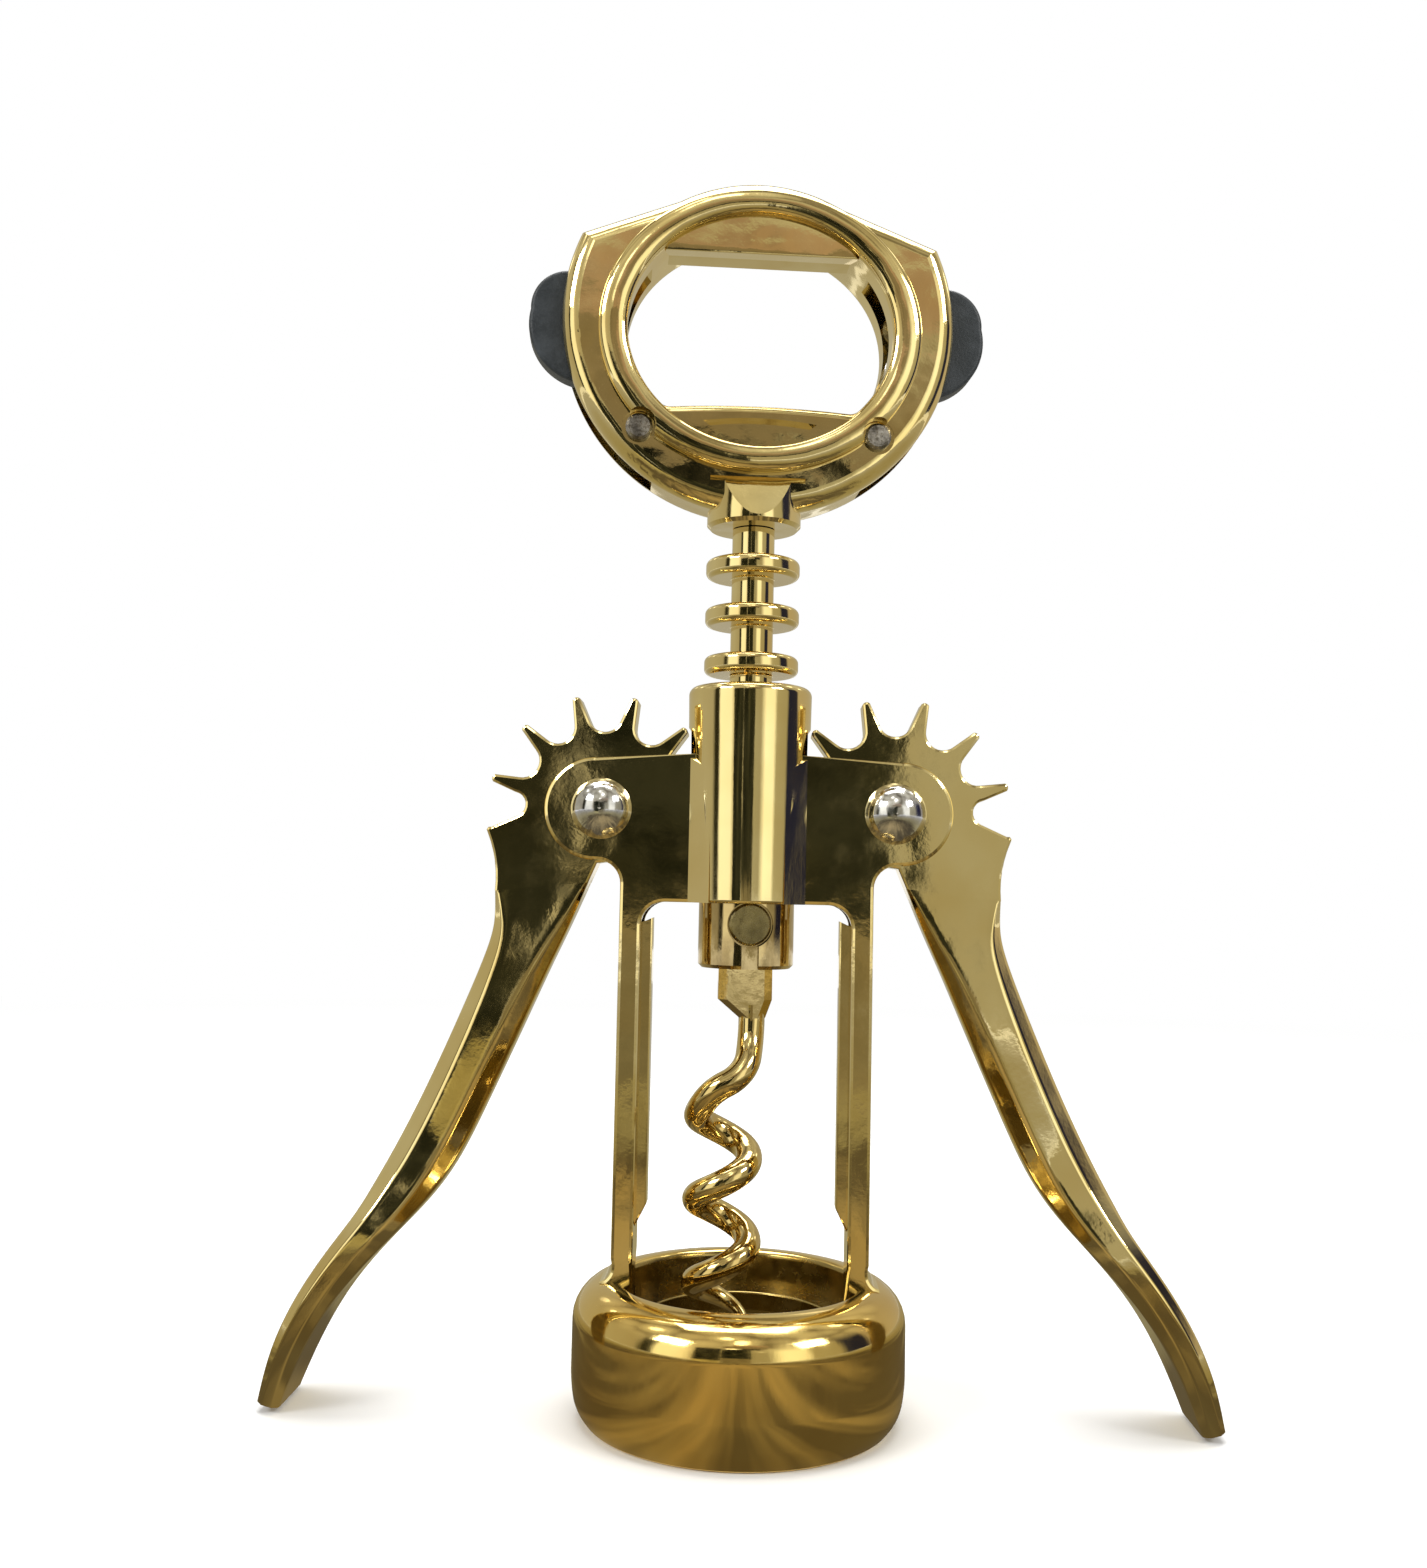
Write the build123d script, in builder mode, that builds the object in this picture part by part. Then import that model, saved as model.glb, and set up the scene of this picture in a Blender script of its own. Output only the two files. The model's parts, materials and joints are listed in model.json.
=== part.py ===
"""Wing corkscrew, in millimetres.

The origin is at the middle of the bell's bottom face, +Z is up the rack, and the face with the
blade, the recess of the worm pin and the V facet looks along -Y. The levers hang at their lower stop.
"""

import math
import os

from build123d import *

os.makedirs("parts", exist_ok=True)

# The bell that stands on the bottle
bell_height = 18.0
bell_wall = 2.6
bell_hollow_width = 2.45
bell_foot_round = 2.2
bell_shoulder_round = 5.0
mouth_step = 0.25
mouth_round = 0.9
socket_radius = 15.75
socket_depth = 10.5
socket_chamfer = 0.8
socket_wall = 1.6
shelf_thickness = 2.5
shelf_reach = 3.25

# The rack, whose flanges the gear teeth push on
rack_flange_radius = 6.55
rack_core_radius = 2.95
rack_flange_thickness = 2.6
rack_flange_chamfer = 0.3
rack_flanges_above = 5
rack_flanges_below = 1
rack_slide_clearance = 0.1
stem_radius = 1.9
stem_running_clearance = 0.05
thrust_clearance = 0.1

# The lever's gear sector
pivot_z = 81.2
gear_width = 5.0
gear_pitch_radius = 12.95
tooth_angle = 30.0
tooth_count = 7
tooth_addendum = 2.73
tooth_shoulder_drop = 0.57
gullet_drop = 2.27
tooth_engagement = 2.25
tooth_tip_width = 0.9
tooth_shoulder_width = 2.1
spur_out = 16.8
spur_drop = 2.6
spur_hollow = 0.5
crotch_out = 0.6
crotch_drop = 7.4

# The lever's arm, outwards and down from the pivot. Each row of shares is a section: how far out
# and down its inner end lies, how far out and down its outer end lies, how thick it is, and how
# much of its smaller side a chamfer takes
arm_reach = 44.0
arm_drop = 80.8
paddle_width = 15.4
arm_section_shares = [
    (0.040, 0.125, 0.331, 0.142, 0.325, 0.03),
    (0.100, 0.205, 0.330, 0.182, 0.360, 0.20),
    (0.150, 0.262, 0.338, 0.222, 0.416, 0.26),
    (0.236, 0.371, 0.411, 0.324, 0.480, 0.29),
    (0.341, 0.500, 0.514, 0.458, 0.494, 0.29),
    (0.425, 0.600, 0.614, 0.572, 0.545, 0.28),
    (0.516, 0.667, 0.673, 0.635, 0.753, 0.28),
    (0.598, 0.714, 0.709, 0.676, 0.922, 0.28),
    (0.709, 0.778, 0.791, 0.735, 1.000, 0.28),
    (0.805, 0.847, 0.886, 0.814, 1.000, 0.28),
    (0.877, 0.924, 0.959, 0.901, 0.922, 0.28),
    (0.927, 0.997, 0.995, 0.987, 0.740, 0.28),
]
arm_root_overlap = 0.4

# The clevis ears, the sleeve and the web between them
ear_end_radius = 7.0
ear_end_shift = 0.8
ear_root_rise = 0.7
ear_wall = 1.5
gear_side_clearance = 0.2
gear_tip_clearance = 0.7
sleeve_wall = 1.4
sleeve_draft = 0.5
sleeve_below_pivot = 12.5
sleeve_above_pivot = 17.3
sleeve_round = 1.2

# The two posts and their stiffening ribs
post_inset = 2.8
post_bite = 1.2
post_thickness = 2.9
post_foot_flare = 1.4
post_flare_height = 3.0
post_corner_round = 3.2
window_corner_round = 3.2
rib_reach = 1.5
rib_width = 3.2
rib_foot_gap = 9.5
rib_taper = 2.4

# The rivets on which the levers turn
rivet_radius = 2.0
rivet_head_radius = 4.15
rivet_head_height = 2.7
rivet_running_clearance = 0.05

# The socket at the foot of the stem, which holds the worm
socket_body_length = 13.1
socket_body_chamfer = 0.5
worm_pin_height = 6.0
pin_recess_radius = 3.1
pin_recess_depth = 1.4
pin_head_radius = 2.85
pin_head_thickness = 0.9
pin_radius = 1.2
keyhole_width = 2.3
keyhole_depth = 0.9
stem_foot_depth = 3.3

# The worm, a wire wound round an axis beside the shank's own
shank_width = 7.4
shank_thickness = 3.4
shank_chamfer = 1.2
shank_length = 6.8
shank_seat_depth = 8.8
worm_wire_radius = 1.8
worm_coil_radius = 3.6
worm_coil_offset = 2.6
worm_pitch = 11.2
worm_lead_drop = 8.6
worm_lead_turn_drop = 4.6
worm_lead_quarters = 2
worm_plain_quarters = 8
worm_tip_quarters = 2
worm_tip_radius = 0.35
worm_tip_sections = 8

# The handle's shield shaped ring
handle_turn = 6.0
collar_radius = 6.55
collar_groove = 4.4
collar_height = 6.4
collar_chamfer = 0.5
facet_width = 9.6
facet_height = 5.6
stem_seat_depth = 5.0
shield_lift = 1.5
shield_height = 38.9
shield_corner_x = 25.0
shield_shoulder_x = 11.5
shield_shoulder_rise = 5.2
shield_crown_rise = 3.0
shield_thickness = 9.4
shield_edge_round = 2.4
oval_lift = 25.3
oval_outer_x = 22.4
oval_outer_z = 20.0
oval_inner_x = 18.4
oval_inner_z = 16.2
oval_thickness = 12.6
oval_edge_round = 1.1
blade_edge_rise = 11.6
blade_thickness = 3.4
lip_edge_drop = 12.0
lip_crown = 1.2
window_foot_round = 2.0
scoop_width = 15.6
scoop_gap = 1.3
scoop_height = 2.8
scoop_depth = 1.3

# The foil cutter in the ring's side walls
cutter_pivot_x = 16.5
cutter_pivot_drop = 14.2
cutter_pin_radius = 1.85
cutter_pin_sink = 0.7
cutter_spotface_radius = 2.4
cutter_spotface_depth = 1.7
cutter_running_clearance = 0.08
cutter_slot_width = 4.4
cutter_slot_depth = 8.3
cutter_slot_low_angle = -58.0
cutter_slot_high_angle = 21.0
cutter_mouth_drop = 10.4
cutter_mouth_rise = 9.2
cutter_arm_clearance = 0.4
cutter_arm_inset = 0.7
cutter_arm_depth = 5.7
cutter_arm_high_angle = 13.0
cutter_hub_radius = 3.0
tab_reach = 4.4
tab_length = 15.6
tab_crown_rise = 0.9
tab_top_rise = 6.1
tab_edge_round = 0.6
wheel_angles = (-14.0, 7.0)
wheel_radius = 2.6
wheel_inset = 1.6
wheel_thickness = 1.0
wheel_edge = 0.3
wheel_side_clearance = 0.25
wheel_bore_clearance = 0.05
axle_radius = 0.7
spring_wire_radius = 0.25
spring_coil_radius = 2.4
spring_pitch = 0.92
spring_half_turns = 3
spring_leg = 5.0
spring_pocket_depth = 2.0
spring_wall_clearance = 0.4

overrun = 1.0

# Places and sizes that follow from those above
gear_tip_radius = gear_pitch_radius + tooth_addendum
gear_shoulder_radius = gear_pitch_radius - tooth_shoulder_drop
gear_root_radius = gear_pitch_radius - gullet_drop
pivot_x = rack_flange_radius - tooth_engagement + gear_tip_radius
rack_pitch = math.radians(tooth_angle) * gear_pitch_radius
first_tooth_angle = -tooth_angle / 2
rack_foot_z = pivot_z - rack_flanges_below * rack_pitch - rack_flange_thickness / 2
rack_top_flange_z = pivot_z + rack_flanges_above * rack_pitch + rack_flange_thickness / 2
collar_bottom_z = rack_top_flange_z + collar_groove
rack_top_z = collar_bottom_z - thrust_clearance
socket_top_z = rack_foot_z - thrust_clearance
socket_foot_z = socket_top_z - socket_body_length
worm_pin_z = socket_foot_z + worm_pin_height
sleeve_bore_radius = rack_flange_radius + rack_slide_clearance
sleeve_bottom_z = pivot_z - sleeve_below_pivot
sleeve_top_z = pivot_z + sleeve_above_pivot
sleeve_bottom_radius = sleeve_bore_radius + sleeve_wall
sleeve_top_radius = sleeve_bottom_radius + sleeve_draft
bell_radius = socket_radius + socket_wall + bell_hollow_width + bell_wall
mouth_radius = socket_radius + mouth_step
shelf_hole_radius = socket_radius - shelf_reach
pivot_gap = gear_width + 2 * gear_side_clearance
frame_depth = pivot_gap + 2 * ear_wall
post_outer_top = pivot_x - post_inset
post_outer_foot = mouth_radius + post_bite
shelf_top_z = socket_depth + shelf_thickness
shield_bottom_z = collar_bottom_z + shield_lift
shield_corner_z = shield_bottom_z + shield_height
shield_radius = (shield_corner_x**2 + shield_height**2) / (2 * shield_height)
shield_center_z = shield_bottom_z + shield_radius
oval_center_z = shield_bottom_z + oval_lift
cutter_pivot_z = oval_center_z - cutter_pivot_drop
cutter_slot_inner = shield_radius - cutter_slot_depth


def face_plane(height, depth=0.0):
    """A plane seen from the front, +X right and +Z up, at a height above the bell's bottom."""
    return Plane(origin=(0, depth, height), x_dir=(1, 0, 0), z_dir=(0, -1, 0))


def polar(radius, angle):
    """The point at a radius and an angle in degrees from +X."""
    return radius * math.cos(math.radians(angle)), radius * math.sin(math.radians(angle))


def write(part, name):
    """Labels a finished piece and writes it."""
    part.label = name
    export_step(part, f"parts/{name}.step")


# The frame is one casting: bell, posts, ribs, web, ears and sleeve
ear_x = pivot_x + ear_end_shift
ear_low_z = pivot_z - ear_end_radius
ear_high_z = pivot_z + ear_end_radius
flare_z = bell_height + post_flare_height
post_inner_top = post_outer_top - post_thickness
post_inner_foot = post_outer_foot - post_thickness

with BuildPart() as frame:
    with BuildSketch(Plane.XZ):
        with BuildLine():
            Polyline(
                (socket_radius, socket_chamfer),
                (socket_radius + socket_chamfer, 0),
                (socket_radius + socket_wall, 0),
                (socket_radius + socket_wall, bell_height - bell_shoulder_round),
                (bell_radius - bell_wall, bell_height - bell_shoulder_round),
                (bell_radius - bell_wall, 0),
                (bell_radius - bell_foot_round, 0),
            )
            RadiusArc(
                (bell_radius - bell_foot_round, 0), (bell_radius, bell_foot_round), -bell_foot_round
            )
            Line((bell_radius, bell_foot_round), (bell_radius, bell_height - bell_shoulder_round))
            RadiusArc(
                (bell_radius, bell_height - bell_shoulder_round),
                (bell_radius - bell_shoulder_round, bell_height),
                -bell_shoulder_round,
            )
            Line(
                (bell_radius - bell_shoulder_round, bell_height),
                (mouth_radius + mouth_round, bell_height),
            )
            RadiusArc(
                (mouth_radius + mouth_round, bell_height),
                (mouth_radius, bell_height - mouth_round),
                -mouth_round,
            )
            Polyline(
                (mouth_radius, bell_height - mouth_round),
                (mouth_radius, shelf_top_z),
                (shelf_hole_radius, shelf_top_z),
                (shelf_hole_radius, socket_depth),
                (socket_radius, socket_depth),
                (socket_radius, socket_chamfer),
            )
        make_face()
    revolve(axis=Axis.Z)

    with BuildSketch(face_plane(0)) as outline:
        with BuildLine():
            Polyline(
                (0, sleeve_bottom_z),
                (post_inner_top, sleeve_bottom_z),
                (post_inner_foot, flare_z),
                (post_inner_foot, shelf_top_z),
                (mouth_radius + overrun, shelf_top_z),
                (post_outer_foot + post_foot_flare, bell_height - mouth_round),
                (post_outer_foot + post_foot_flare, bell_height),
            )
            ThreePointArc(
                (post_outer_foot + post_foot_flare, bell_height),
                (post_outer_foot + post_foot_flare / 4, bell_height + post_flare_height / 4),
                (post_outer_foot, flare_z),
            )
            Polyline(
                (post_outer_foot, flare_z),
                (post_outer_top, ear_low_z),
                (ear_x, ear_low_z),
            )
            ThreePointArc((ear_x, ear_low_z), (ear_x + ear_end_radius, pivot_z), (ear_x, ear_high_z))
            Polyline(
                (ear_x, ear_high_z),
                (sleeve_bottom_radius, ear_high_z + ear_root_rise),
                (0, ear_high_z + ear_root_rise),
                (0, sleeve_bottom_z),
            )
        make_face()
        fillet(outline.vertices().sort_by_distance((post_outer_top, ear_low_z))[0], post_corner_round)
        fillet(
            outline.vertices().sort_by_distance((post_inner_top, sleeve_bottom_z))[0], window_corner_round
        )
        mirror(about=Plane.YZ)
    extrude(amount=frame_depth / 2, both=True)

    with BuildSketch(face_plane(0)):
        rib_inner_x = post_inner_top - rib_reach
        rib_foot_z = shelf_top_z + rib_foot_gap + rib_taper
        with BuildLine():
            Polyline(
                (rib_inner_x, sleeve_bottom_z + overrun),
                (rib_inner_x, rib_foot_z + 2 * rib_reach),
                (post_inner_top, rib_foot_z),
                (post_outer_top - post_thickness / 2, rib_foot_z),
                (post_outer_top - post_thickness / 2, sleeve_bottom_z + overrun),
                close=True,
            )
        make_face()
        mirror(about=Plane.YZ)
    extrude(amount=rib_width / 2, both=True)

    with BuildSketch(Plane.XZ):
        with BuildLine():
            Polyline(
                (0, sleeve_bottom_z),
                (sleeve_bottom_radius, sleeve_bottom_z),
                (sleeve_top_radius, sleeve_top_z),
                (0, sleeve_top_z),
                close=True,
            )
        make_face()
    revolve(axis=Axis.Z)
    fillet(frame.edges().group_by(Axis.Z)[-1], sleeve_round)

    with BuildSketch(Plane.XY.offset(sleeve_bottom_z - overrun)):
        Circle(sleeve_bore_radius)
    extrude(amount=sleeve_top_z - sleeve_bottom_z + 2 * overrun, mode=Mode.SUBTRACT)

    with BuildSketch(face_plane(pivot_z)):
        with Locations((pivot_x, 0), (-pivot_x, 0)):
            Circle(gear_tip_radius + gear_tip_clearance)
    extrude(amount=pivot_gap / 2, both=True, mode=Mode.SUBTRACT)

    with BuildSketch(face_plane(pivot_z)):
        with Locations((pivot_x, 0), (-pivot_x, 0)):
            Circle(rivet_radius)
    extrude(amount=frame_depth, both=True, mode=Mode.SUBTRACT)

write(frame.part, "frame")

# The rivets: a shank through both ears, with a domed head on each side
for side, sign in (("left", -1), ("right", 1)):
    dome_radius = (rivet_head_radius**2 + rivet_head_height**2) / (2 * rivet_head_height)
    face_y = frame_depth / 2
    with BuildPart() as rivet:
        with BuildSketch(Plane.XY):
            with BuildLine():
                Polyline(
                    (0, face_y + rivet_head_height),
                    (0, 0),
                    (rivet_radius, 0),
                    (rivet_radius, face_y),
                    (rivet_head_radius, face_y),
                )
                RadiusArc(
                    (rivet_head_radius, face_y), (0, face_y + rivet_head_height), -dome_radius
                )
            make_face()
        revolve(axis=Axis.Y)
        mirror(about=Plane.XZ)
    write(rivet.part.translate((sign * pivot_x, 0, pivot_z)), f"{side}_pivot_rivet")


# The levers: a toothed sector, and an arm that turns into a broad paddle
def tooth_flank(angle, radius, width):
    """The two points at a radius on either side of a tooth, lower angle first."""
    half = math.degrees(math.asin(width / 2 / radius))
    return polar(radius, angle - half), polar(radius, angle + half)


def arm_section(shares):
    """One section's inner and outer end, its thickness and its chamfer."""
    inner_out, inner_down, outer_out, outer_down, thick, chamfer_share = shares
    inner = Vector(arm_reach * inner_out, 0, -arm_drop * inner_down)
    outer = Vector(arm_reach * outer_out, 0, -arm_drop * outer_down)
    thickness = paddle_width * thick
    return inner, outer, thickness, min((outer - inner).length, thickness) * chamfer_share


with BuildPart() as lever:
    sections = [arm_section(shares) for shares in arm_section_shares]
    sector_angles = [180 - first_tooth_angle - tooth_angle * n for n in range(tooth_count)]
    root_inner, root_outer = sections[0][:2]
    inner_foot = root_inner + (sections[1][0] - root_inner).normalized() * arm_root_overlap
    outer_foot = root_outer + (sections[1][1] - root_outer).normalized() * arm_root_overlap
    with BuildSketch(face_plane(0)):
        with BuildLine():
            points = []
            for angle in reversed(sector_angles):
                low, high = tooth_flank(angle, gear_shoulder_radius, tooth_shoulder_width)
                tip_low, tip_high = tooth_flank(angle, gear_tip_radius, tooth_tip_width)
                if points:
                    valley = polar(gear_root_radius, angle - tooth_angle / 2)
                    ThreePointArc(points[-1], valley, low)
                Line(low, tip_low)
                ThreePointArc(tip_low, polar(gear_tip_radius + tooth_tip_width / 4, angle), tip_high)
                Line(tip_high, high)
                points.extend((low, high))
            Polyline(
                points[-1],
                (-crotch_out - gear_shoulder_radius / 2, -crotch_drop + tooth_shoulder_width / 2),
                (crotch_out, -crotch_drop),
                (root_inner.X, root_inner.Z),
                (inner_foot.X, inner_foot.Z),
                (outer_foot.X, outer_foot.Z),
                (root_outer.X, root_outer.Z),
            )
            ThreePointArc(
                (root_outer.X, root_outer.Z),
                ((root_outer.X + spur_out) / 2 - spur_hollow, (root_outer.Z - spur_drop) / 2),
                (spur_out, -spur_drop),
            )
            ThreePointArc(
                (spur_out, -spur_drop),
                polar(gear_root_radius + tooth_tip_width / 2, first_tooth_angle + tooth_angle / 8),
                points[0],
            )
        make_face()
    extrude(amount=gear_width / 2, both=True)
    for inner, outer, thickness, cut in sections:
        across = (outer - inner).normalized()
        length = (outer - inner).length
        with BuildSketch(
            Plane(origin=(inner + outer) * 0.5, x_dir=across, z_dir=across.cross(Vector(0, 1, 0)))
        ):
            Polygon(
                (length / 2, thickness / 2 - cut),
                (length / 2 - cut, thickness / 2),
                (cut - length / 2, thickness / 2),
                (-length / 2, thickness / 2 - cut),
                (-length / 2, cut - thickness / 2),
                (cut - length / 2, -thickness / 2),
                (length / 2 - cut, -thickness / 2),
                (length / 2, cut - thickness / 2),
                align=None,
            )
    loft()
    with BuildSketch(face_plane(0)):
        Circle(rivet_radius + rivet_running_clearance)
    extrude(amount=gear_width, both=True, mode=Mode.SUBTRACT)

write(lever.part.translate((pivot_x, 0, pivot_z)), "right_lever")
write(lever.part.mirror(Plane.YZ).translate((-pivot_x, 0, pivot_z)), "left_lever")

# The rack: a hollow core that slides with the stem, and its flanges
with BuildPart() as rack:
    with BuildSketch(Plane.XY.offset(rack_foot_z)):
        Circle(rack_core_radius)
    extrude(amount=rack_top_z - rack_foot_z)
    for step in range(-rack_flanges_below, rack_flanges_above + 1):
        with BuildSketch(Plane.XY.offset(pivot_z + step * rack_pitch - rack_flange_thickness / 2)):
            Circle(rack_flange_radius)
        extrude(amount=rack_flange_thickness)
    rims = rack.edges().filter_by(
        lambda edge: edge.geom_type == GeomType.CIRCLE and edge.radius > rack_core_radius + overrun
    )
    chamfer(rims, rack_flange_chamfer)
    with BuildSketch(Plane.XY.offset(rack_foot_z)):
        Circle(stem_radius + stem_running_clearance)
    extrude(amount=rack_top_z - rack_foot_z, mode=Mode.SUBTRACT)
write(rack.part, "rack")

# The stem that joins the handle to the worm's socket
with BuildPart() as stem:
    with BuildSketch(Plane.XY.offset(socket_top_z - stem_foot_depth)):
        Circle(stem_radius)
    extrude(amount=collar_bottom_z + stem_seat_depth - socket_top_z + stem_foot_depth)
write(stem.part, "stem")

# The socket of the worm, with its recess, keyhole channel and pin hole
with BuildPart() as worm_socket:
    with BuildSketch(Plane.XY.offset(socket_foot_z)):
        Circle(rack_flange_radius)
    extrude(amount=socket_body_length)
    chamfer(worm_socket.edges(), socket_body_chamfer)
    with BuildSketch(Plane.XY.offset(socket_top_z)):
        Circle(stem_radius)
    extrude(amount=-stem_foot_depth, mode=Mode.SUBTRACT)
    with BuildSketch(Plane.XY.offset(socket_foot_z)) as shank_hole:
        Rectangle(shank_width, shank_thickness)
        chamfer(shank_hole.vertices(), shank_chamfer)
    extrude(amount=shank_seat_depth, mode=Mode.SUBTRACT)
    with BuildSketch(face_plane(worm_pin_z, -rack_flange_radius)):
        Circle(pin_recess_radius)
    extrude(amount=-pin_recess_depth, mode=Mode.SUBTRACT)
    with BuildSketch(face_plane(worm_pin_z, -rack_flange_radius)):
        with Locations((0, -worm_pin_height / 2)):
            Rectangle(keyhole_width, worm_pin_height)
    extrude(amount=-keyhole_depth, mode=Mode.SUBTRACT)
    with BuildSketch(face_plane(worm_pin_z)):
        Circle(pin_radius)
    extrude(amount=rack_flange_radius, both=True, mode=Mode.SUBTRACT)
write(worm_socket.part.rotate(Axis.Z, handle_turn), "worm_socket")

with BuildPart() as worm_pin:
    recess_floor_y = pin_recess_depth - rack_flange_radius
    with BuildSketch(face_plane(worm_pin_z, recess_floor_y)):
        Circle(pin_head_radius)
    extrude(amount=pin_head_thickness)
    chamfer(worm_pin.edges().group_by(Axis.Y)[0], pin_head_thickness / 3)
    with BuildSketch(face_plane(worm_pin_z, recess_floor_y)):
        Circle(pin_radius)
    extrude(amount=-(rack_flange_radius - pin_recess_depth + rack_core_radius))
write(worm_pin.part.rotate(Axis.Z, handle_turn), "worm_pin")

# The worm: a flattened shank, a wire that winds down in quarter turns, and a tapered tip
shank_foot_z = socket_foot_z - shank_length
lead_start = Vector(worm_coil_radius - worm_coil_offset, 0, shank_foot_z)
lead_quarter_z = shank_foot_z - worm_lead_drop
first_left_z = lead_quarter_z - worm_lead_turn_drop


def worm_point(quarters):
    """The wire's centre after some quarter turns, and its direction downwards."""
    turn = math.radians(90 * quarters)
    low = first_left_z - worm_pitch * (quarters - worm_lead_quarters) / 4
    if quarters < worm_lead_quarters:
        low = lead_quarter_z
    place = Vector(
        worm_coil_radius * math.cos(turn) - worm_coil_offset, -worm_coil_radius * math.sin(turn), low
    )
    way = Vector(
        -worm_coil_radius * math.sin(turn),
        -worm_coil_radius * math.cos(turn),
        -worm_pitch / (2 * math.pi),
    )
    return place, way.normalized()


def biarc(start, start_way, end, end_way):
    """Two arcs that meet smoothly between two points with given directions."""
    gap = end - start
    ways = start_way + end_way
    spread = 2 * (1 - start_way.dot(end_way))
    reach = (math.sqrt(gap.dot(ways) ** 2 + spread * gap.dot(gap)) - gap.dot(ways)) / spread
    middle = (start + end + (start_way - end_way) * reach) * 0.5
    middle_way = (end - end_way * reach - start - start_way * reach).normalized()
    TangentArc(start, middle, tangent=start_way)
    TangentArc(middle, end, tangent=middle_way)


def least_gap(path, wire_radius, turn_length):
    """The least space between a wire and itself, for points most of a turn apart along it."""
    count = math.ceil(path.length / wire_radius)
    spots = [path.position_at(n / count) for n in range(count + 1)]
    away = math.ceil(count * turn_length * 0.6 / path.length)
    pairs = [(a, b) for n, a in enumerate(spots) for b in spots[n + away :]]
    return min((a - b).length for a, b in pairs) - 2 * wire_radius


stations = [(lead_start, Vector(0, 0, -1))]
worm_last_quarter = worm_lead_quarters + worm_plain_quarters
stations += [worm_point(quarters) for quarters in range(1, worm_last_quarter + 1)]
with BuildPart() as worm:
    with BuildLine() as wire_line:
        Line(lead_start + Vector(0, 0, worm_wire_radius), lead_start)
        for (start, start_way), (end, end_way) in zip(stations, stations[1:]):
            biarc(start, start_way, end, end_way)
    with BuildSketch(Plane.XY.offset(shank_foot_z + worm_wire_radius)):
        with Locations((lead_start.X, 0)):
            Circle(worm_wire_radius)
    sweep(path=wire_line.wire())
    for step in range(worm_tip_sections + 1):
        share = step / worm_tip_sections
        place, way = worm_point(worm_last_quarter + worm_tip_quarters * share)
        with BuildSketch(Plane(origin=place, x_dir=way.cross(Vector(0, 0, 1)), z_dir=way)):
            Circle(worm_wire_radius + (worm_tip_radius - worm_wire_radius) * share**1.5)
    loft()
    with BuildSketch(Plane.XY.offset(shank_foot_z)) as shank_foot:
        with Locations((lead_start.X, 0)):
            Rectangle(2 * worm_wire_radius, shank_thickness)
            chamfer(shank_foot.vertices(), shank_chamfer)
    with BuildSketch(Plane.XY.offset(shank_foot_z + shank_width / 3)) as shank_shoulder:
        Rectangle(shank_width, shank_thickness)
        chamfer(shank_shoulder.vertices(), shank_chamfer)
    loft()
    with BuildSketch(Plane.XY.offset(shank_foot_z + shank_width / 3)) as shank:
        Rectangle(shank_width, shank_thickness)
        chamfer(shank.vertices(), shank_chamfer)
    extrude(amount=shank_length + shank_seat_depth - shank_width / 3)
    with BuildSketch(face_plane(worm_pin_z)):
        Circle(pin_radius)
    extrude(amount=rack_flange_radius, both=True, mode=Mode.SUBTRACT)
write(worm.part.rotate(Axis.Z, handle_turn), "worm")
worm_gap = least_gap(wire_line.wire(), worm_wire_radius, 2 * math.pi * worm_coil_radius)
print("worm: least gap between turns", round(worm_gap, 2))

# The handle: shield, raised oval with a crowned lip at the foot of its window, blade and collar
blade_edge_z = oval_center_z + blade_edge_rise
lip_edge_z = oval_center_z - lip_edge_drop
scoop_z = lip_edge_z - scoop_gap

with BuildPart() as window:
    with BuildSketch(face_plane(oval_center_z)) as window_outline:
        Ellipse(oval_inner_x, oval_inner_z)
        with BuildLine():
            ThreePointArc(
                (-oval_inner_x - overrun, -lip_edge_drop),
                (0, lip_crown - lip_edge_drop),
                (oval_inner_x + overrun, -lip_edge_drop),
            )
            Polyline(
                (oval_inner_x + overrun, -lip_edge_drop),
                (oval_inner_x + overrun, -oval_inner_z - overrun),
                (-oval_inner_x - overrun, -oval_inner_z - overrun),
                (-oval_inner_x - overrun, -lip_edge_drop),
            )
        make_face(mode=Mode.SUBTRACT)
        fillet(window_outline.vertices().sort_by(Axis.Y)[:2], window_foot_round)
    extrude(amount=oval_thickness, both=True)

with BuildPart() as oval:
    with BuildSketch(face_plane(oval_center_z)):
        Ellipse(oval_outer_x, oval_outer_z)
    extrude(amount=oval_thickness / 2, both=True)
    add(window.part, mode=Mode.SUBTRACT)
    fillet(oval.faces().filter_by(Axis.Y).edges(), oval_edge_round)
    for face_sign in (-1, 1):
        with BuildSketch(face_plane(scoop_z, face_sign * oval_thickness / 2)):
            with BuildLine():
                ThreePointArc((-scoop_width / 2, 0), (0, lip_crown / 2), (scoop_width / 2, 0))
                ThreePointArc((scoop_width / 2, 0), (0, -scoop_height), (-scoop_width / 2, 0))
            make_face()
        extrude(amount=face_sign * scoop_depth, mode=Mode.SUBTRACT)

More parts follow.
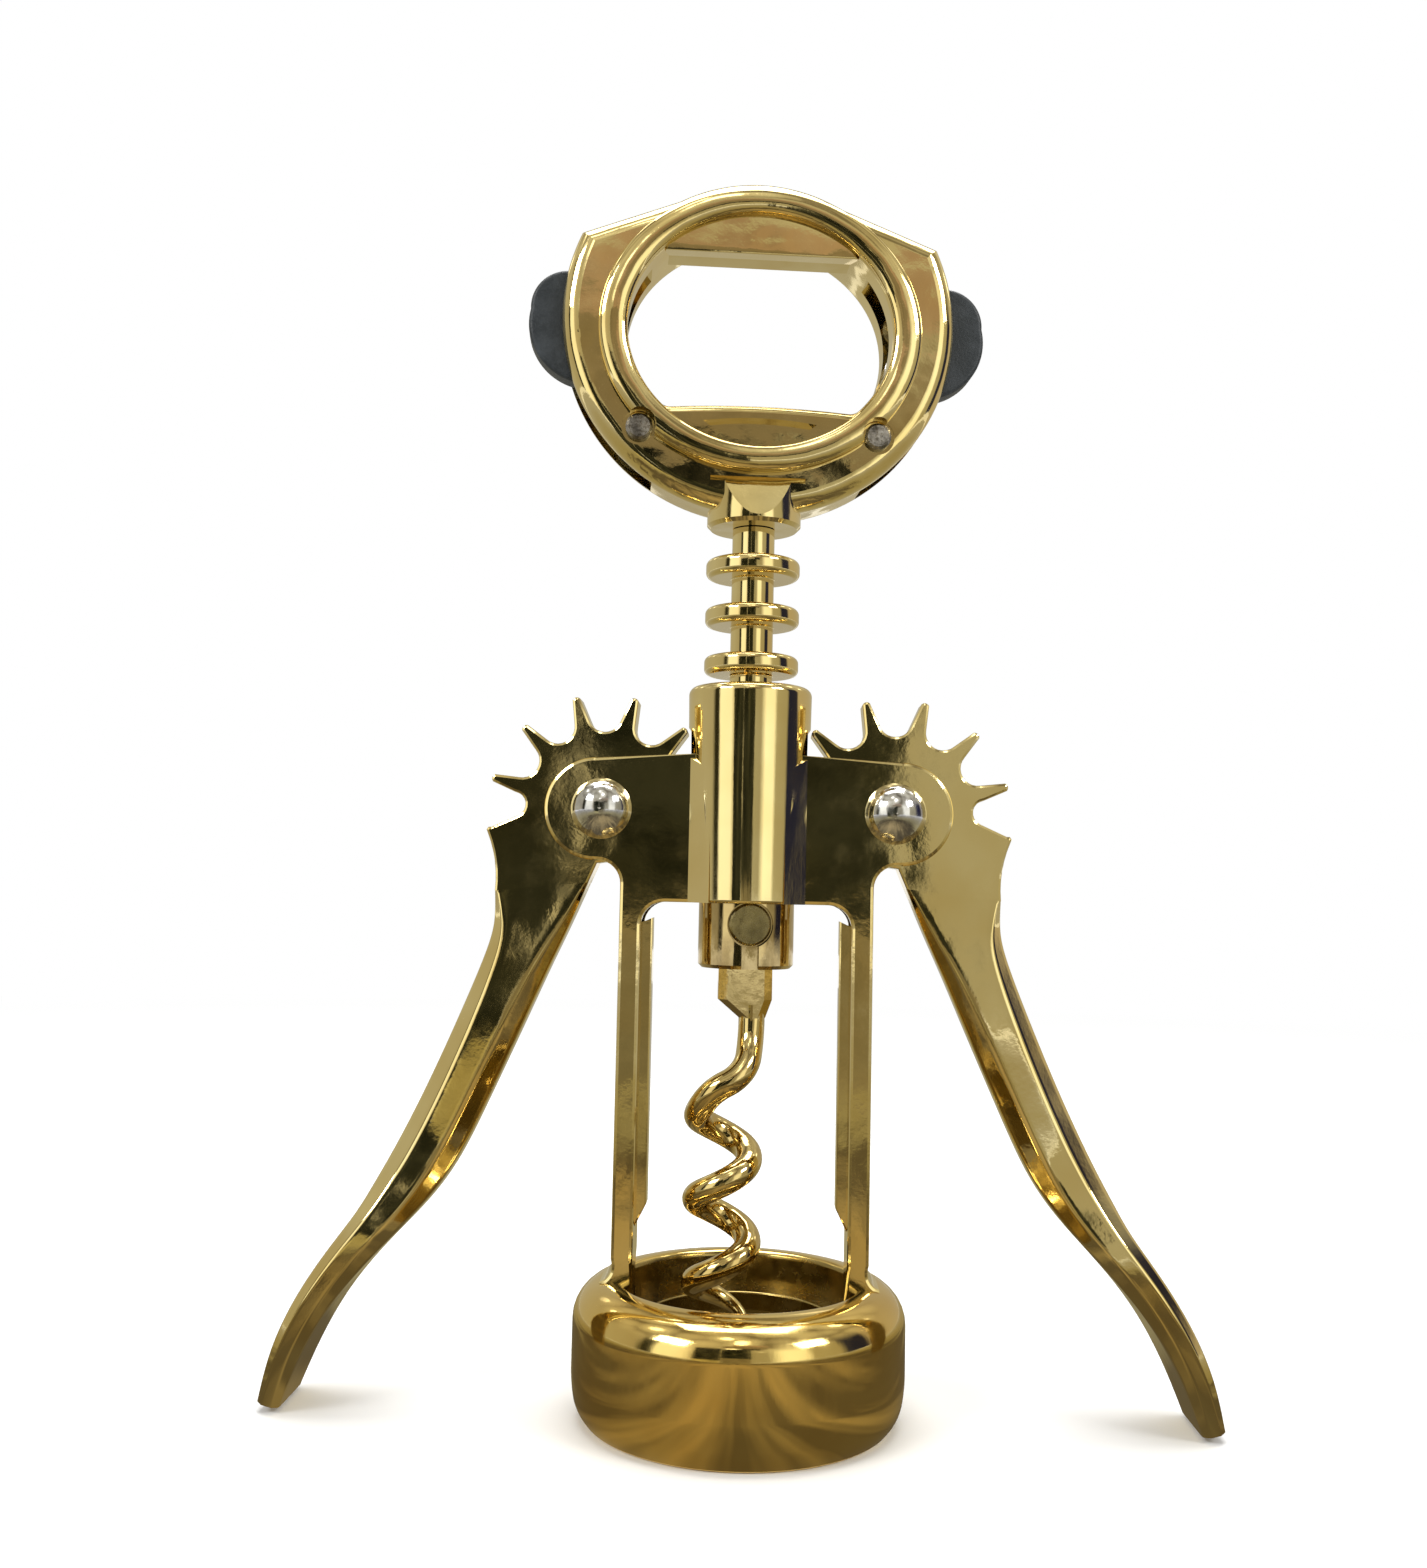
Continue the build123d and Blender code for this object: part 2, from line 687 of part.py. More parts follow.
with BuildPart() as handle:
    with BuildSketch(face_plane(shield_corner_z)):
        with BuildLine():
            ThreePointArc((-shield_corner_x, 0), (0, -shield_height), (shield_corner_x, 0))
            Line((shield_corner_x, 0), (shield_shoulder_x, shield_shoulder_rise))
            ThreePointArc(
                (shield_shoulder_x, shield_shoulder_rise),
                (0, shield_shoulder_rise + shield_crown_rise),
                (-shield_shoulder_x, shield_shoulder_rise),
            )
            Line((-shield_shoulder_x, shield_shoulder_rise), (-shield_corner_x, 0))
        make_face()
    extrude(amount=shield_thickness / 2, both=True)
    fillet(
        handle.faces().filter_by(Axis.Y).edges(), min(shield_edge_round, shield_thickness / 3)
    )
    add(oval.part)
    with BuildSketch(Plane.XY.offset(collar_bottom_z)):
        Circle(collar_radius)
    extrude(amount=collar_height)
    chamfer(handle.edges().group_by(Axis.Z)[0], collar_chamfer)
    add(window.part, mode=Mode.SUBTRACT)

    # The flat facets of the collar, which end in a point where they run out of its round side
    facet_y = math.sqrt(collar_radius**2 - (facet_width / 2) ** 2)
    for face_sign in (-1, 1):
        with BuildSketch(Plane.YZ):
            with BuildLine():
                Polyline(
                    (face_sign * facet_y, collar_bottom_z + collar_height),
                    (face_sign * collar_radius, collar_bottom_z + collar_height - facet_height),
                    (face_sign * (collar_radius + overrun), collar_bottom_z + collar_height),
                    close=True,
                )
            make_face()
        extrude(amount=collar_radius, both=True, mode=Mode.SUBTRACT)

    # The blade across the top of the window
    with BuildSketch(face_plane(oval_center_z)):
        Ellipse(oval_inner_x + oval_edge_round, oval_inner_z + oval_edge_round)
        with Locations((0, blade_edge_rise + oval_inner_z)):
            Rectangle(2 * oval_outer_x, 2 * oval_inner_z, mode=Mode.INTERSECT)
    extrude(amount=blade_thickness / 2, both=True)

    # The slots of the cutter arms, open to the outside and to the window
    with BuildSketch(face_plane(shield_center_z)):
        Circle(shield_radius + shield_corner_x / 2)
        Circle(cutter_slot_inner, mode=Mode.SUBTRACT)
        with BuildLine():
            Polyline(
                (0, 0),
                polar(2 * oval_outer_x, cutter_slot_low_angle),
                polar(2 * oval_outer_x, 0),
                polar(2 * oval_outer_x, cutter_slot_high_angle),
                close=True,
            )
        make_face(mode=Mode.INTERSECT)
    slot = extrude(amount=cutter_slot_width / 2, both=True, mode=Mode.SUBTRACT)
    mirror(slot, about=Plane.YZ, mode=Mode.SUBTRACT)
    with BuildSketch(face_plane(oval_center_z - cutter_mouth_drop)):
        with Locations((cutter_slot_inner, 0), (-cutter_slot_inner, 0)):
            Rectangle(
                cutter_slot_inner / 2,
                cutter_mouth_drop + cutter_mouth_rise,
                align=(Align.CENTER, Align.MIN),
            )
    extrude(amount=cutter_slot_width / 2, both=True, mode=Mode.SUBTRACT)

    # The pins' holes, with a spotface on each side
    with BuildSketch(face_plane(cutter_pivot_z)):
        with Locations((cutter_pivot_x, 0), (-cutter_pivot_x, 0)):
            Circle(cutter_pin_radius)
    extrude(amount=oval_thickness, both=True, mode=Mode.SUBTRACT)
    for face_sign in (-1, 1):
        with BuildSketch(face_plane(cutter_pivot_z, face_sign * oval_thickness / 2)):
            with Locations((cutter_pivot_x, 0), (-cutter_pivot_x, 0)):
                Circle(cutter_spotface_radius)
        extrude(amount=face_sign * cutter_spotface_depth, mode=Mode.SUBTRACT)

    with BuildSketch(Plane.XY.offset(collar_bottom_z)):
        Circle(stem_radius)
    extrude(amount=stem_seat_depth, mode=Mode.SUBTRACT)
write(handle.part.rotate(Axis.Z, handle_turn), "handle_ring")

# The cutter arms: a hub, a band inside the ring's wall, a thumb tab outside and forks for the wheels
cutter_arm_inner = cutter_slot_inner + cutter_arm_inset
cutter_arm_outer = cutter_arm_inner + cutter_arm_depth
hub_angle = math.degrees(math.atan2(cutter_pivot_z - shield_center_z, cutter_pivot_x))
cutter_arm_thickness = cutter_slot_width - 2 * cutter_arm_clearance
tab_out = shield_radius + tab_reach
tab_low = tab_top_rise - tab_length
wheel_path_radius = cutter_arm_inner + wheel_inset
wheel_places = [polar(wheel_path_radius, angle) for angle in wheel_angles]

with BuildPart() as thumb_tab:
    with BuildSketch(face_plane(shield_center_z)):
        with BuildLine():
            ThreePointArc(
                (cutter_arm_outer - overrun, tab_top_rise),
                (tab_out - tab_reach / 4, (tab_top_rise + tab_crown_rise) / 2 + overrun),
                (tab_out, tab_crown_rise),
            )
            ThreePointArc(
                (tab_out, tab_crown_rise),
                (tab_out - tab_reach / 4, tab_low + tab_length / 4),
                (cutter_arm_outer - tab_reach / 2, tab_low),
            )
            Line(
                (cutter_arm_outer - tab_reach / 2, tab_low), (cutter_arm_outer - overrun, tab_top_rise)
            )
        make_face()
    extrude(amount=cutter_arm_thickness / 2, both=True)
    fillet(thumb_tab.faces().filter_by(Axis.Y).edges(), tab_edge_round)

with BuildPart() as cutter_arm:
    with BuildSketch(face_plane(shield_center_z)):
        with BuildLine():
            mid_angle = (hub_angle + cutter_arm_high_angle) / 2
            ThreePointArc(
                polar(cutter_arm_inner, hub_angle),
                polar(cutter_arm_inner, mid_angle),
                polar(cutter_arm_inner, cutter_arm_high_angle),
            )
            Line(
                polar(cutter_arm_inner, cutter_arm_high_angle),
                polar(cutter_arm_outer, cutter_arm_high_angle),
            )
            ThreePointArc(
                polar(cutter_arm_outer, cutter_arm_high_angle),
                polar(cutter_arm_outer, mid_angle),
                polar(cutter_arm_outer, hub_angle),
            )
            Line(polar(cutter_arm_outer, hub_angle), polar(cutter_arm_inner, hub_angle))
        make_face()
        with Locations((cutter_pivot_x, cutter_pivot_z - shield_center_z)):
            Circle(cutter_hub_radius)
    extrude(amount=cutter_arm_thickness / 2, both=True)
    add(thumb_tab.part)
    with BuildSketch(face_plane(shield_center_z)):
        with Locations((cutter_pivot_x, cutter_pivot_z - shield_center_z)):
            Circle(cutter_pin_radius + cutter_running_clearance)
        with Locations(*wheel_places):
            Circle(axle_radius)
    extrude(amount=cutter_slot_width, both=True, mode=Mode.SUBTRACT)
    with BuildSketch(face_plane(shield_center_z)):
        with Locations(*wheel_places):
            Circle(wheel_radius + wheel_side_clearance)
    extrude(amount=wheel_thickness / 2 + wheel_side_clearance, both=True, mode=Mode.SUBTRACT)
    with BuildSketch(face_plane(cutter_pivot_z, cutter_arm_thickness / 2)):
        with Locations((cutter_pivot_x, 0)):
            Circle(cutter_hub_radius + spring_wire_radius)
    extrude(amount=spring_pocket_depth, mode=Mode.SUBTRACT)


def spring_point(half_turns):
    """The return spring's wire after some half turns about the pin, and its direction."""
    turn = math.pi * half_turns
    rest_y = cutter_slot_width / 2 - spring_wall_clearance - spring_wire_radius
    place = Vector(
        cutter_pivot_x + spring_coil_radius * math.cos(turn),
        rest_y - spring_pitch * (spring_half_turns - half_turns) / 2,
        cutter_pivot_z + spring_coil_radius * math.sin(turn),
    )
    way = Vector(
        -spring_coil_radius * math.sin(turn),
        spring_pitch / (2 * math.pi),
        spring_coil_radius * math.cos(turn),
    )
    return place, way.normalized()


coil_stations = [spring_point(step / 2) for step in range(2 * spring_half_turns + 1)]
with BuildPart() as cutter_spring:
    with BuildLine() as spring_line:
        for (start, start_way), (end, end_way) in zip(coil_stations, coil_stations[1:]):
            biarc(start, start_way, end, end_way)
        coil_end, leg_way = coil_stations[-1]
        Line(coil_end, coil_end + leg_way * spring_leg)
    spring_start, spring_way = coil_stations[0]
    with BuildSketch(Plane(origin=spring_start, x_dir=(1, 0, 0), z_dir=spring_way)):
        Circle(spring_wire_radius)
    sweep(path=spring_line.wire())
spring_gap = least_gap(spring_line.wire(), spring_wire_radius, 2 * math.pi * spring_coil_radius)
print("cutter spring: least gap between turns", round(spring_gap, 2))

with BuildPart() as cutter_pin:
    with BuildSketch(face_plane(cutter_pivot_z)):
        with Locations((cutter_pivot_x, 0)):
            Circle(cutter_pin_radius)
    extrude(amount=oval_thickness / 2 - cutter_pin_sink, both=True)
    chamfer(cutter_pin.faces().filter_by(Axis.Y).edges(), cutter_pin_sink / 2)

parts = {
    "cutter_arm": cutter_arm.part,
    "cutter_pivot_pin": cutter_pin.part,
    "cutter_spring": cutter_spring.part,
}
for level, (out, rise) in zip(("lower", "upper"), wheel_places):
    with BuildPart() as wheel:
        with BuildSketch(face_plane(shield_center_z + rise)):
            with Locations((out, 0)):
                Circle(wheel_radius)
        extrude(amount=wheel_thickness / 2, both=True)
        chamfer(wheel.edges(), wheel_thickness / 2 - wheel_edge / 2, wheel_edge * 2)
        with BuildSketch(face_plane(shield_center_z + rise)):
            with Locations((out, 0)):
                Circle(axle_radius + wheel_bore_clearance)
        extrude(amount=wheel_thickness, both=True, mode=Mode.SUBTRACT)
    with BuildPart() as axle:
        with BuildSketch(face_plane(shield_center_z + rise)):
            with Locations((out, 0)):
                Circle(axle_radius)
        extrude(amount=cutter_arm_thickness / 2, both=True)
    parts[f"{level}_cutter_wheel"] = wheel.part
    parts[f"{level}_wheel_axle"] = axle.part

for name, part in parts.items():
    write(part.rotate(Axis.Z, handle_turn), f"right_{name}")
    write(part.mirror(Plane.YZ).rotate(Axis.Z, handle_turn), f"left_{name}")
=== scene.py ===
"""A gold plated wing corkscrew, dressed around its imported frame.

Pieces are shaped in millimetres, in the frame's own axes, and stored in metres. Every piece rides on
the body that carries it, and every node that stays in view gets a finish of its own.
"""

from __future__ import annotations

import json
import logging
import math
from dataclasses import dataclass, field
from enum import Enum
from typing import Callable, Iterable, NamedTuple, Sequence

import bmesh
import bpy
from mathutils import Matrix, Quaternion, Vector


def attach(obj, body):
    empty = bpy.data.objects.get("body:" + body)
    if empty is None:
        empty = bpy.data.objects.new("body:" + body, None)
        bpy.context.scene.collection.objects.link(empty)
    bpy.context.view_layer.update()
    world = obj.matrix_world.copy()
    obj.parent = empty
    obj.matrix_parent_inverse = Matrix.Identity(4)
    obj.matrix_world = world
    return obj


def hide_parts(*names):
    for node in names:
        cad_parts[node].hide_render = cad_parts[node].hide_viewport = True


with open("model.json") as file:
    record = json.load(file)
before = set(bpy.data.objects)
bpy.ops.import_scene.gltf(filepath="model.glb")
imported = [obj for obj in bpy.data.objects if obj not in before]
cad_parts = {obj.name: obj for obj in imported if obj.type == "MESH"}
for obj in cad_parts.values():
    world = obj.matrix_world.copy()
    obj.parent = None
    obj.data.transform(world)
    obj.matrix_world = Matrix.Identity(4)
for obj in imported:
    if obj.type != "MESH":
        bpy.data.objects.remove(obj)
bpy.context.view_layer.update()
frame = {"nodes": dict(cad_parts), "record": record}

MM = 0.001
UNSTRETCHED = (1.0, 1.0, 1.0)

# The right gear's pivot, teeth and pitch, which frame, rack and levers share, and the ring's turn at rest
PIVOT = (19.98, 81.2)
TOOTH_DEG = 30.0
PITCH_RADIUS = 12.95
HANDLE_TURN_DEG = 6.0

log = logging.getLogger("wing_corkscrew")

Point = tuple[float, float]
Triple = tuple[float, float, float]
Colour = tuple[float, float, float]
Stop = tuple[float, Colour]
Socket = bpy.types.NodeSocket


class Slot(Enum):
    """The material slots of the record."""

    GOLD = "gold_plating"
    RIVET = "polished_rivet_steel"
    STEEL = "grey_steel"
    PLASTIC = "black_plastic"


class Body(Enum):
    """The bodies that new pieces ride on."""

    FRAME = "frame"
    RACK = "rack"
    HANDLE = "handle"
    LEFT_LEVER = "left_lever"
    RIGHT_LEVER = "right_lever"


class Side(Enum):
    """The object's sides, as the camera sees them."""

    LEFT = "left"
    RIGHT = "right"


class Fitting(Enum):
    """How one workpiece is worked into another."""

    CUT = "DIFFERENCE"
    WELD = "UNION"


class Wiring:
    """A node tree, with short calls that add and join its nodes."""

    def __init__(self, tree: bpy.types.NodeTree, end: str) -> None:
        """Empties the tree and gives it an output.

        Args:
            tree: The tree.
            end: The output's Blender type name.
        """
        self.tree = tree
        self.tree.nodes.clear()
        self.output = self.add(end)

    def add(self, kind: str, **settings: object) -> bpy.types.Node:
        """Adds a node.

        Args:
            kind: The node's Blender type name.
            settings: Attributes of the node, and values of its inputs where no attribute has that name.

        Returns:
            The new node.
        """
        node = self.tree.nodes.new(kind)
        for key, value in settings.items():
            if hasattr(node, key):
                setattr(node, key, value)
            else:
                node.inputs[key.replace("_", " ")].default_value = value
        return node

    def join(self, source: Socket, target: Socket) -> None:
        """Links an output socket to an input socket."""
        self.tree.links.new(source, target)

    def number(self, operation: str, first: Socket, second: Socket) -> Socket:
        """Works out a number from two others.

        Args:
            operation: The operation's Blender name.
            first: The socket with the first number.
            second: The socket with the second number.

        Returns:
            The socket with the result.
        """
        node = self.add("ShaderNodeMath", operation=operation)
        self.join(first, node.inputs[0])
        self.join(second, node.inputs[1])
        return node.outputs[0]

    def seen_or_mirrored(self) -> Socket:
        """Tells the rays of the camera, of mirrors and of glass from the light on the object.

        Returns:
            The socket that holds 1 for such a ray and 0 for any other.
        """
        rays = self.add("ShaderNodeLightPath").outputs
        mirrored = self.number("MAXIMUM", rays["Is Glossy Ray"], rays["Is Transmission Ray"])
        return self.number("MAXIMUM", rays["Is Camera Ray"], mirrored)

    def mix(self, share: Socket, first: bpy.types.Node, second: bpy.types.Node) -> None:
        """Joins a mix of two shaders to the output.

        Args:
            share: The socket with the second shader's share.
            first: The first shader.
            second: The second shader.
        """
        mix = self.add("ShaderNodeMixShader")
        self.join(share, mix.inputs["Fac"])
        self.join(first.outputs[0], mix.inputs[1])
        self.join(second.outputs[0], mix.inputs[2])
        self.join(mix.outputs[0], self.output.inputs["Surface"])


class Shading(Wiring):
    """One material's node tree, with the patterns that its finishes are made of."""

    def __init__(self, name: str) -> None:
        """Starts a material with an empty tree and its output.

        Args:
            name: The material's name.
        """
        self.material = bpy.data.materials.new(name)
        self.material.use_nodes = True
        super().__init__(self.material.node_tree, "ShaderNodeOutputMaterial")

    def coordinates(self) -> Socket:
        """Returns the socket with the Object coordinates."""
        return self.add("ShaderNodeTexCoord").outputs["Object"]

    def vector(self, operation: str, *terms: Socket | Vector) -> bpy.types.Node:
        """Adds a calculation with vectors.

        Args:
            operation: The operation's Blender name.
            terms: Its sockets and steady vectors, in order.

        Returns:
            The node.
        """
        node = self.add("ShaderNodeVectorMath", operation=operation)
        for entry, term in zip(node.inputs, terms):
            if isinstance(term, Vector):
                entry.default_value = term
            else:
                self.join(term, entry)
        return node

    def noise(
        self, scale: float, detail: float = 2.0, stretch: Triple = UNSTRETCHED, rough: float = 0.5
    ) -> Socket:
        """A noise pattern on Object coordinates.

        Args:
            scale: Cells per metre.
            detail: Octaves.
            stretch: The stretch along each axis.
            rough: How strong the finer octaves are.

        Returns:
            The socket with the pattern's value.
        """
        mapping = self.add("ShaderNodeMapping", Scale=stretch)
        self.join(self.coordinates(), mapping.inputs["Vector"])
        node = self.add("ShaderNodeTexNoise", Scale=scale, Detail=detail, Roughness=rough)
        self.join(mapping.outputs["Vector"], node.inputs["Vector"])
        return node.outputs["Fac"]

    def ramp(self, value: Socket, stops: Sequence[Stop]) -> Socket:
        """Colours a value.

        Args:
            value: The socket with the value.
            stops: Places from 0 to 1 and their colours.

        Returns:
            The socket with the colour.
        """
        node = self.add("ShaderNodeValToRGB")
        elements = node.color_ramp.elements
        while len(elements) < len(stops):
            elements.new(1.0)
        for element, (place, colour) in zip(elements, stops):
            element.position = place
            element.color = (*colour, 1.0)
        self.join(value, node.inputs["Fac"])
        return node.outputs["Color"]

    def span(
        self, value: Socket, low: float, high: float, start: float = 0.35, end: float = 0.65
    ) -> Socket:
        """Carries a value from one range to another.

        Args:
            value: The socket with the value.
            low: What the start of its range becomes.
            high: What the end of its range becomes.
            start: The start of its range.
            end: The end of its range.

        Returns:
            The socket with the new value.
        """
        node = self.add("ShaderNodeMapRange", From_Min=start, From_Max=end, To_Min=low, To_Max=high)
        self.join(value, node.inputs["Value"])
        return node.outputs["Result"]

    def bumps(self, layers: Sequence[tuple[Socket, float]]) -> Socket:
        """Stacks height patterns.

        Args:
            layers: Height sockets and the depth of each in metres.

        Returns:
            The socket with the normal.
        """
        normal = None
        for height, depth in layers:
            node = self.add("ShaderNodeBump", Strength=1.0, Distance=depth)
            self.join(height, node.inputs["Height"])
            if normal is not None:
                self.join(normal, node.inputs["Normal"])
            normal = node.outputs["Normal"]
        return normal

    def surface(
        self, colour: Socket, haze: Socket, layers: Sequence[tuple[Socket, float]], **values: float
    ) -> bpy.types.Material:
        """Joins the surface shader to its patterns and to the output.

        Args:
            colour: The socket with the colour.
            haze: The socket with the roughness.
            layers: Height sockets and the depth of each in metres.
            values: The shader's steady values.

        Returns:
            The finished material.
        """
        shader = self.add("ShaderNodeBsdfPrincipled", **values)
        self.join(colour, shader.inputs["Base Color"])
        self.join(haze, shader.inputs["Roughness"])
        self.join(self.bumps(layers), shader.inputs["Normal"])
        self.join(shader.outputs["BSDF"], self.output.inputs["Surface"])
        return self.material


@dataclass(frozen=True)
class GoldPlating:
    """Mirror gold: warm clouds in the plate, a wavy ground below it, orange peel and handling haze."""

    name: str = "cast_gold"
    pale: Colour = (0.87, 0.73, 0.38)
    deep: Colour = (0.78, 0.61, 0.26)
    haze_low: float = 0.03
    haze_high: float = 0.11
    cloud_scale: float = 70.0
    cloud_detail: float = 3.0
    cloud_edges: Point = (0.3, 0.62)
    smears_per_cloud: float = 4.0
    smear_detail: float = 5.0
    smear_rough: float = 0.62
    wave_scale: float = 150.0
    wave_detail: float = 1.0
    wave_depth: float = 0.00010
    peel_scale: float = 1500.0
    peel_detail: float = 3.0
    peel_depth: float = 0.000006
    stretch: Triple = UNSTRETCHED
    slot: Slot = Slot.GOLD

    def material(self) -> bpy.types.Material:
        """Mixes the plating.

        Returns:
            The material.
        """
        shading = Shading(self.name)
        clouds = shading.noise(self.cloud_scale, self.cloud_detail)
        smears = shading.noise(
            self.smears_per_cloud * self.cloud_scale, self.smear_detail, self.stretch, self.smear_rough
        )
        waves = shading.noise(self.wave_scale, self.wave_detail, self.stretch)
        peel = shading.noise(self.peel_scale, self.peel_detail, self.stretch)
        return shading.surface(
            shading.ramp(clouds, list(zip(self.cloud_edges, (self.deep, self.pale)))),
            shading.span(smears, self.haze_low, self.haze_high),
            [(waves, self.wave_depth), (peel, self.peel_depth)],
            Metallic=1.0,
        )


@dataclass(frozen=True)
class RivetSteel:
    """Bright nickelled steel with fine polishing scratches and a little tarnish."""

    name: str = "polished_rivet_steel"
    bright: Colour = (0.78, 0.78, 0.80)
    dull: Colour = (0.52, 0.52, 0.55)
    haze_low: float = 0.05
    haze_high: float = 0.20
    cloud_scale: float = 420.0
    cloud_detail: float = 4.0
    cloud_edges: Point = (0.32, 0.6)
    cloud_depth: float = 0.00004
    scratch_scale: float = 1400.0
    scratch_detail: float = 3.0
    scratch_stretch: Triple = (1.0, 1.0, 0.12)
    scratch_depth: float = 0.000006
    slot: Slot = Slot.RIVET

    def material(self) -> bpy.types.Material:
        """Mixes the steel.

        Returns:
            The material.
        """
        shading = Shading(self.name)
        clouds = shading.noise(self.cloud_scale, self.cloud_detail)
        scratches = shading.noise(self.scratch_scale, self.scratch_detail, self.scratch_stretch)
        return shading.surface(
            shading.ramp(clouds, list(zip(self.cloud_edges, (self.dull, self.bright)))),
            shading.span(scratches, self.haze_low, self.haze_high),
            [(clouds, self.cloud_depth), (scratches, self.scratch_depth)],
            Metallic=1.0,
        )


@dataclass(frozen=True)
class GreySteel:
    """Unplated steel of pins, axles, springs and cutting wheels, with turning marks and dark grime."""

    name: str = "grey_steel"
    bright: Colour = (0.46, 0.44, 0.42)
    dirty: Colour = (0.13, 0.12, 0.11)
    haze_low: float = 0.24
    haze_high: float = 0.46
    grime_scale: float = 520.0
    grime_detail: float = 5.0
    grime_rough: float = 0.65
    grime_edges: Point = (0.36, 0.56)
    grime_depth: float = 0.00006
    mark_scale: float = 2600.0
    mark_detail: float = 2.0
    mark_stretch: Triple = (1.0, 0.2, 1.0)
    mark_depth: float = 0.00001
    slot: Slot = Slot.STEEL

    def material(self) -> bpy.types.Material:
        """Mixes the steel.

        Returns:
            The material.
        """
        shading = Shading(self.name)
        grime = shading.noise(self.grime_scale, self.grime_detail, rough=self.grime_rough)
        marks = shading.noise(self.mark_scale, self.mark_detail, self.mark_stretch)
        return shading.surface(
            shading.ramp(grime, list(zip(self.grime_edges, (self.dirty, self.bright)))),
            shading.span(marks, self.haze_low, self.haze_high),
            [(grime, self.grime_depth), (marks, self.mark_depth)],
            Metallic=1.0,
        )


@dataclass(frozen=True)
class BlackPlastic:
    """Satin black moulded plastic, slightly blue, with a spark eroded grain and pale scuffs."""

    name: str = "black_plastic"
    body: Colour = (0.014, 0.019, 0.024)
    scuffed: Colour = (0.034, 0.041, 0.048)
    haze_low: float = 0.40
    haze_high: float = 0.58
    shine: float = 0.45
    scuff_scale: float = 260.0
    scuff_detail: float = 6.0
    scuff_rough: float = 0.7
    scuff_edges: Point = (0.45, 0.72)
    scuff_depth: float = 0.00003
    grain_scale: float = 2400.0
    grain_depth: float = 0.00004
    slot: Slot = Slot.PLASTIC

    def material(self) -> bpy.types.Material:
        """Mixes the plastic.

        Returns:
            The material.
        """
        shading = Shading(self.name)
        scuffs = shading.noise(self.scuff_scale, self.scuff_detail, rough=self.scuff_rough)
        grain = shading.noise(self.grain_scale)
        return shading.surface(
            shading.ramp(scuffs, list(zip(self.scuff_edges, (self.body, self.scuffed)))),
            shading.span(scuffs, self.haze_low, self.haze_high),
            [(grain, self.grain_depth), (scuffs, self.scuff_depth)],
            Specular_IOR_Level=self.shine,
        )


class Paint(Enum):
    """The finishes of the pieces and of the nodes that stay in view."""

    CAST = GoldPlating()
    TURNED = GoldPlating("turned_gold", wave_depth=0.00003, peel_depth=0.000004, stretch=(1.0, 1.0, 0.35))
    BELL = GoldPlating(
        "bell_gold", pale=(0.87, 0.66, 0.25), deep=(0.76, 0.53, 0.17), haze_high=0.16,
        wave_depth=0.00005, stretch=(1.0, 1.0, 0.12),
    )
    # Painted shade: a darker, rougher gold for the faces inside the bell's mouth and on its shelf, where
    # shade falls
    INSIDE = GoldPlating(
        "inside_painted_shade_gold", pale=(0.44, 0.34, 0.13), deep=(0.30, 0.22, 0.08), haze_low=0.12, haze_high=0.32,
        wave_depth=0.00006,
    )
    RING = GoldPlating("ring_gold", wave_scale=190.0, wave_depth=0.00013)
    SOCKET = GoldPlating(
        "socket_gold", pale=(0.60, 0.47, 0.23), deep=(0.40, 0.29, 0.13), cloud_scale=210.0,
        wave_scale=240.0, wave_depth=0.00006, stretch=(1.0, 1.0, 0.35),
    )
    WIRE = GoldPlating(
        "wire_gold", pale=(0.72, 0.57, 0.26), deep=(0.58, 0.43, 0.17), wave_scale=380.0,
        wave_depth=0.000045, peel_depth=0.00001,
    )
    DULL = GoldPlating(
        "dull_gold", pale=(0.44, 0.37, 0.18), deep=(0.24, 0.20, 0.10), haze_low=0.18, haze_high=0.38,
        cloud_scale=420.0, wave_scale=500.0, wave_depth=0.00008,
    )
    RIVET = RivetSteel()
    STEEL = GreySteel()
    PLASTIC = BlackPlastic()


class Paints:
    """The finished materials, one for each paint."""

    def __init__(self) -> None:
        """Mixes each paint once."""
        self.mixed = {paint: paint.value.material() for paint in Paint}

    def coat(self, mesh: bpy.types.Mesh, paint: Paint) -> None:
        """Covers a mesh with one paint."""
        mesh.materials.clear()
        mesh.materials.append(self.mixed[paint])


def circle_centre(a: Vector, b: Vector, c: Vector) -> Vector:
    """Finds the middle of the circle through three points of the front plane.

    Args:
        a: The first point.
        b: The second point.
        c: The third point.

    Returns:
        The middle.
    """
    first, second = b - a, c - b
    across = first.x * second.z - first.z * second.x
    reach = (c - a).dot(second) / 2 / across
    return (a + b) / 2 + Vector((-first.z, 0, first.x)) * reach


def to_scene(name: str, bm: bmesh.types.BMesh) -> bpy.types.Object:
    """Makes a mesh an object of the scene.

    Args:
        name: The object's name.
        bm: The mesh, which is then gone.

    Returns:
        The object.
    """
    mesh = bpy.data.meshes.new(name)
    bm.to_mesh(mesh)
    bm.free()
    item = bpy.data.objects.new(name, mesh)
    bpy.context.scene.collection.objects.link(item)
    return item


class Corner(NamedTuple):
    """A corner of a lathe's profile, and the radius that it is rounded by."""

    out: float
    up: float
    rounding: float = 0.0


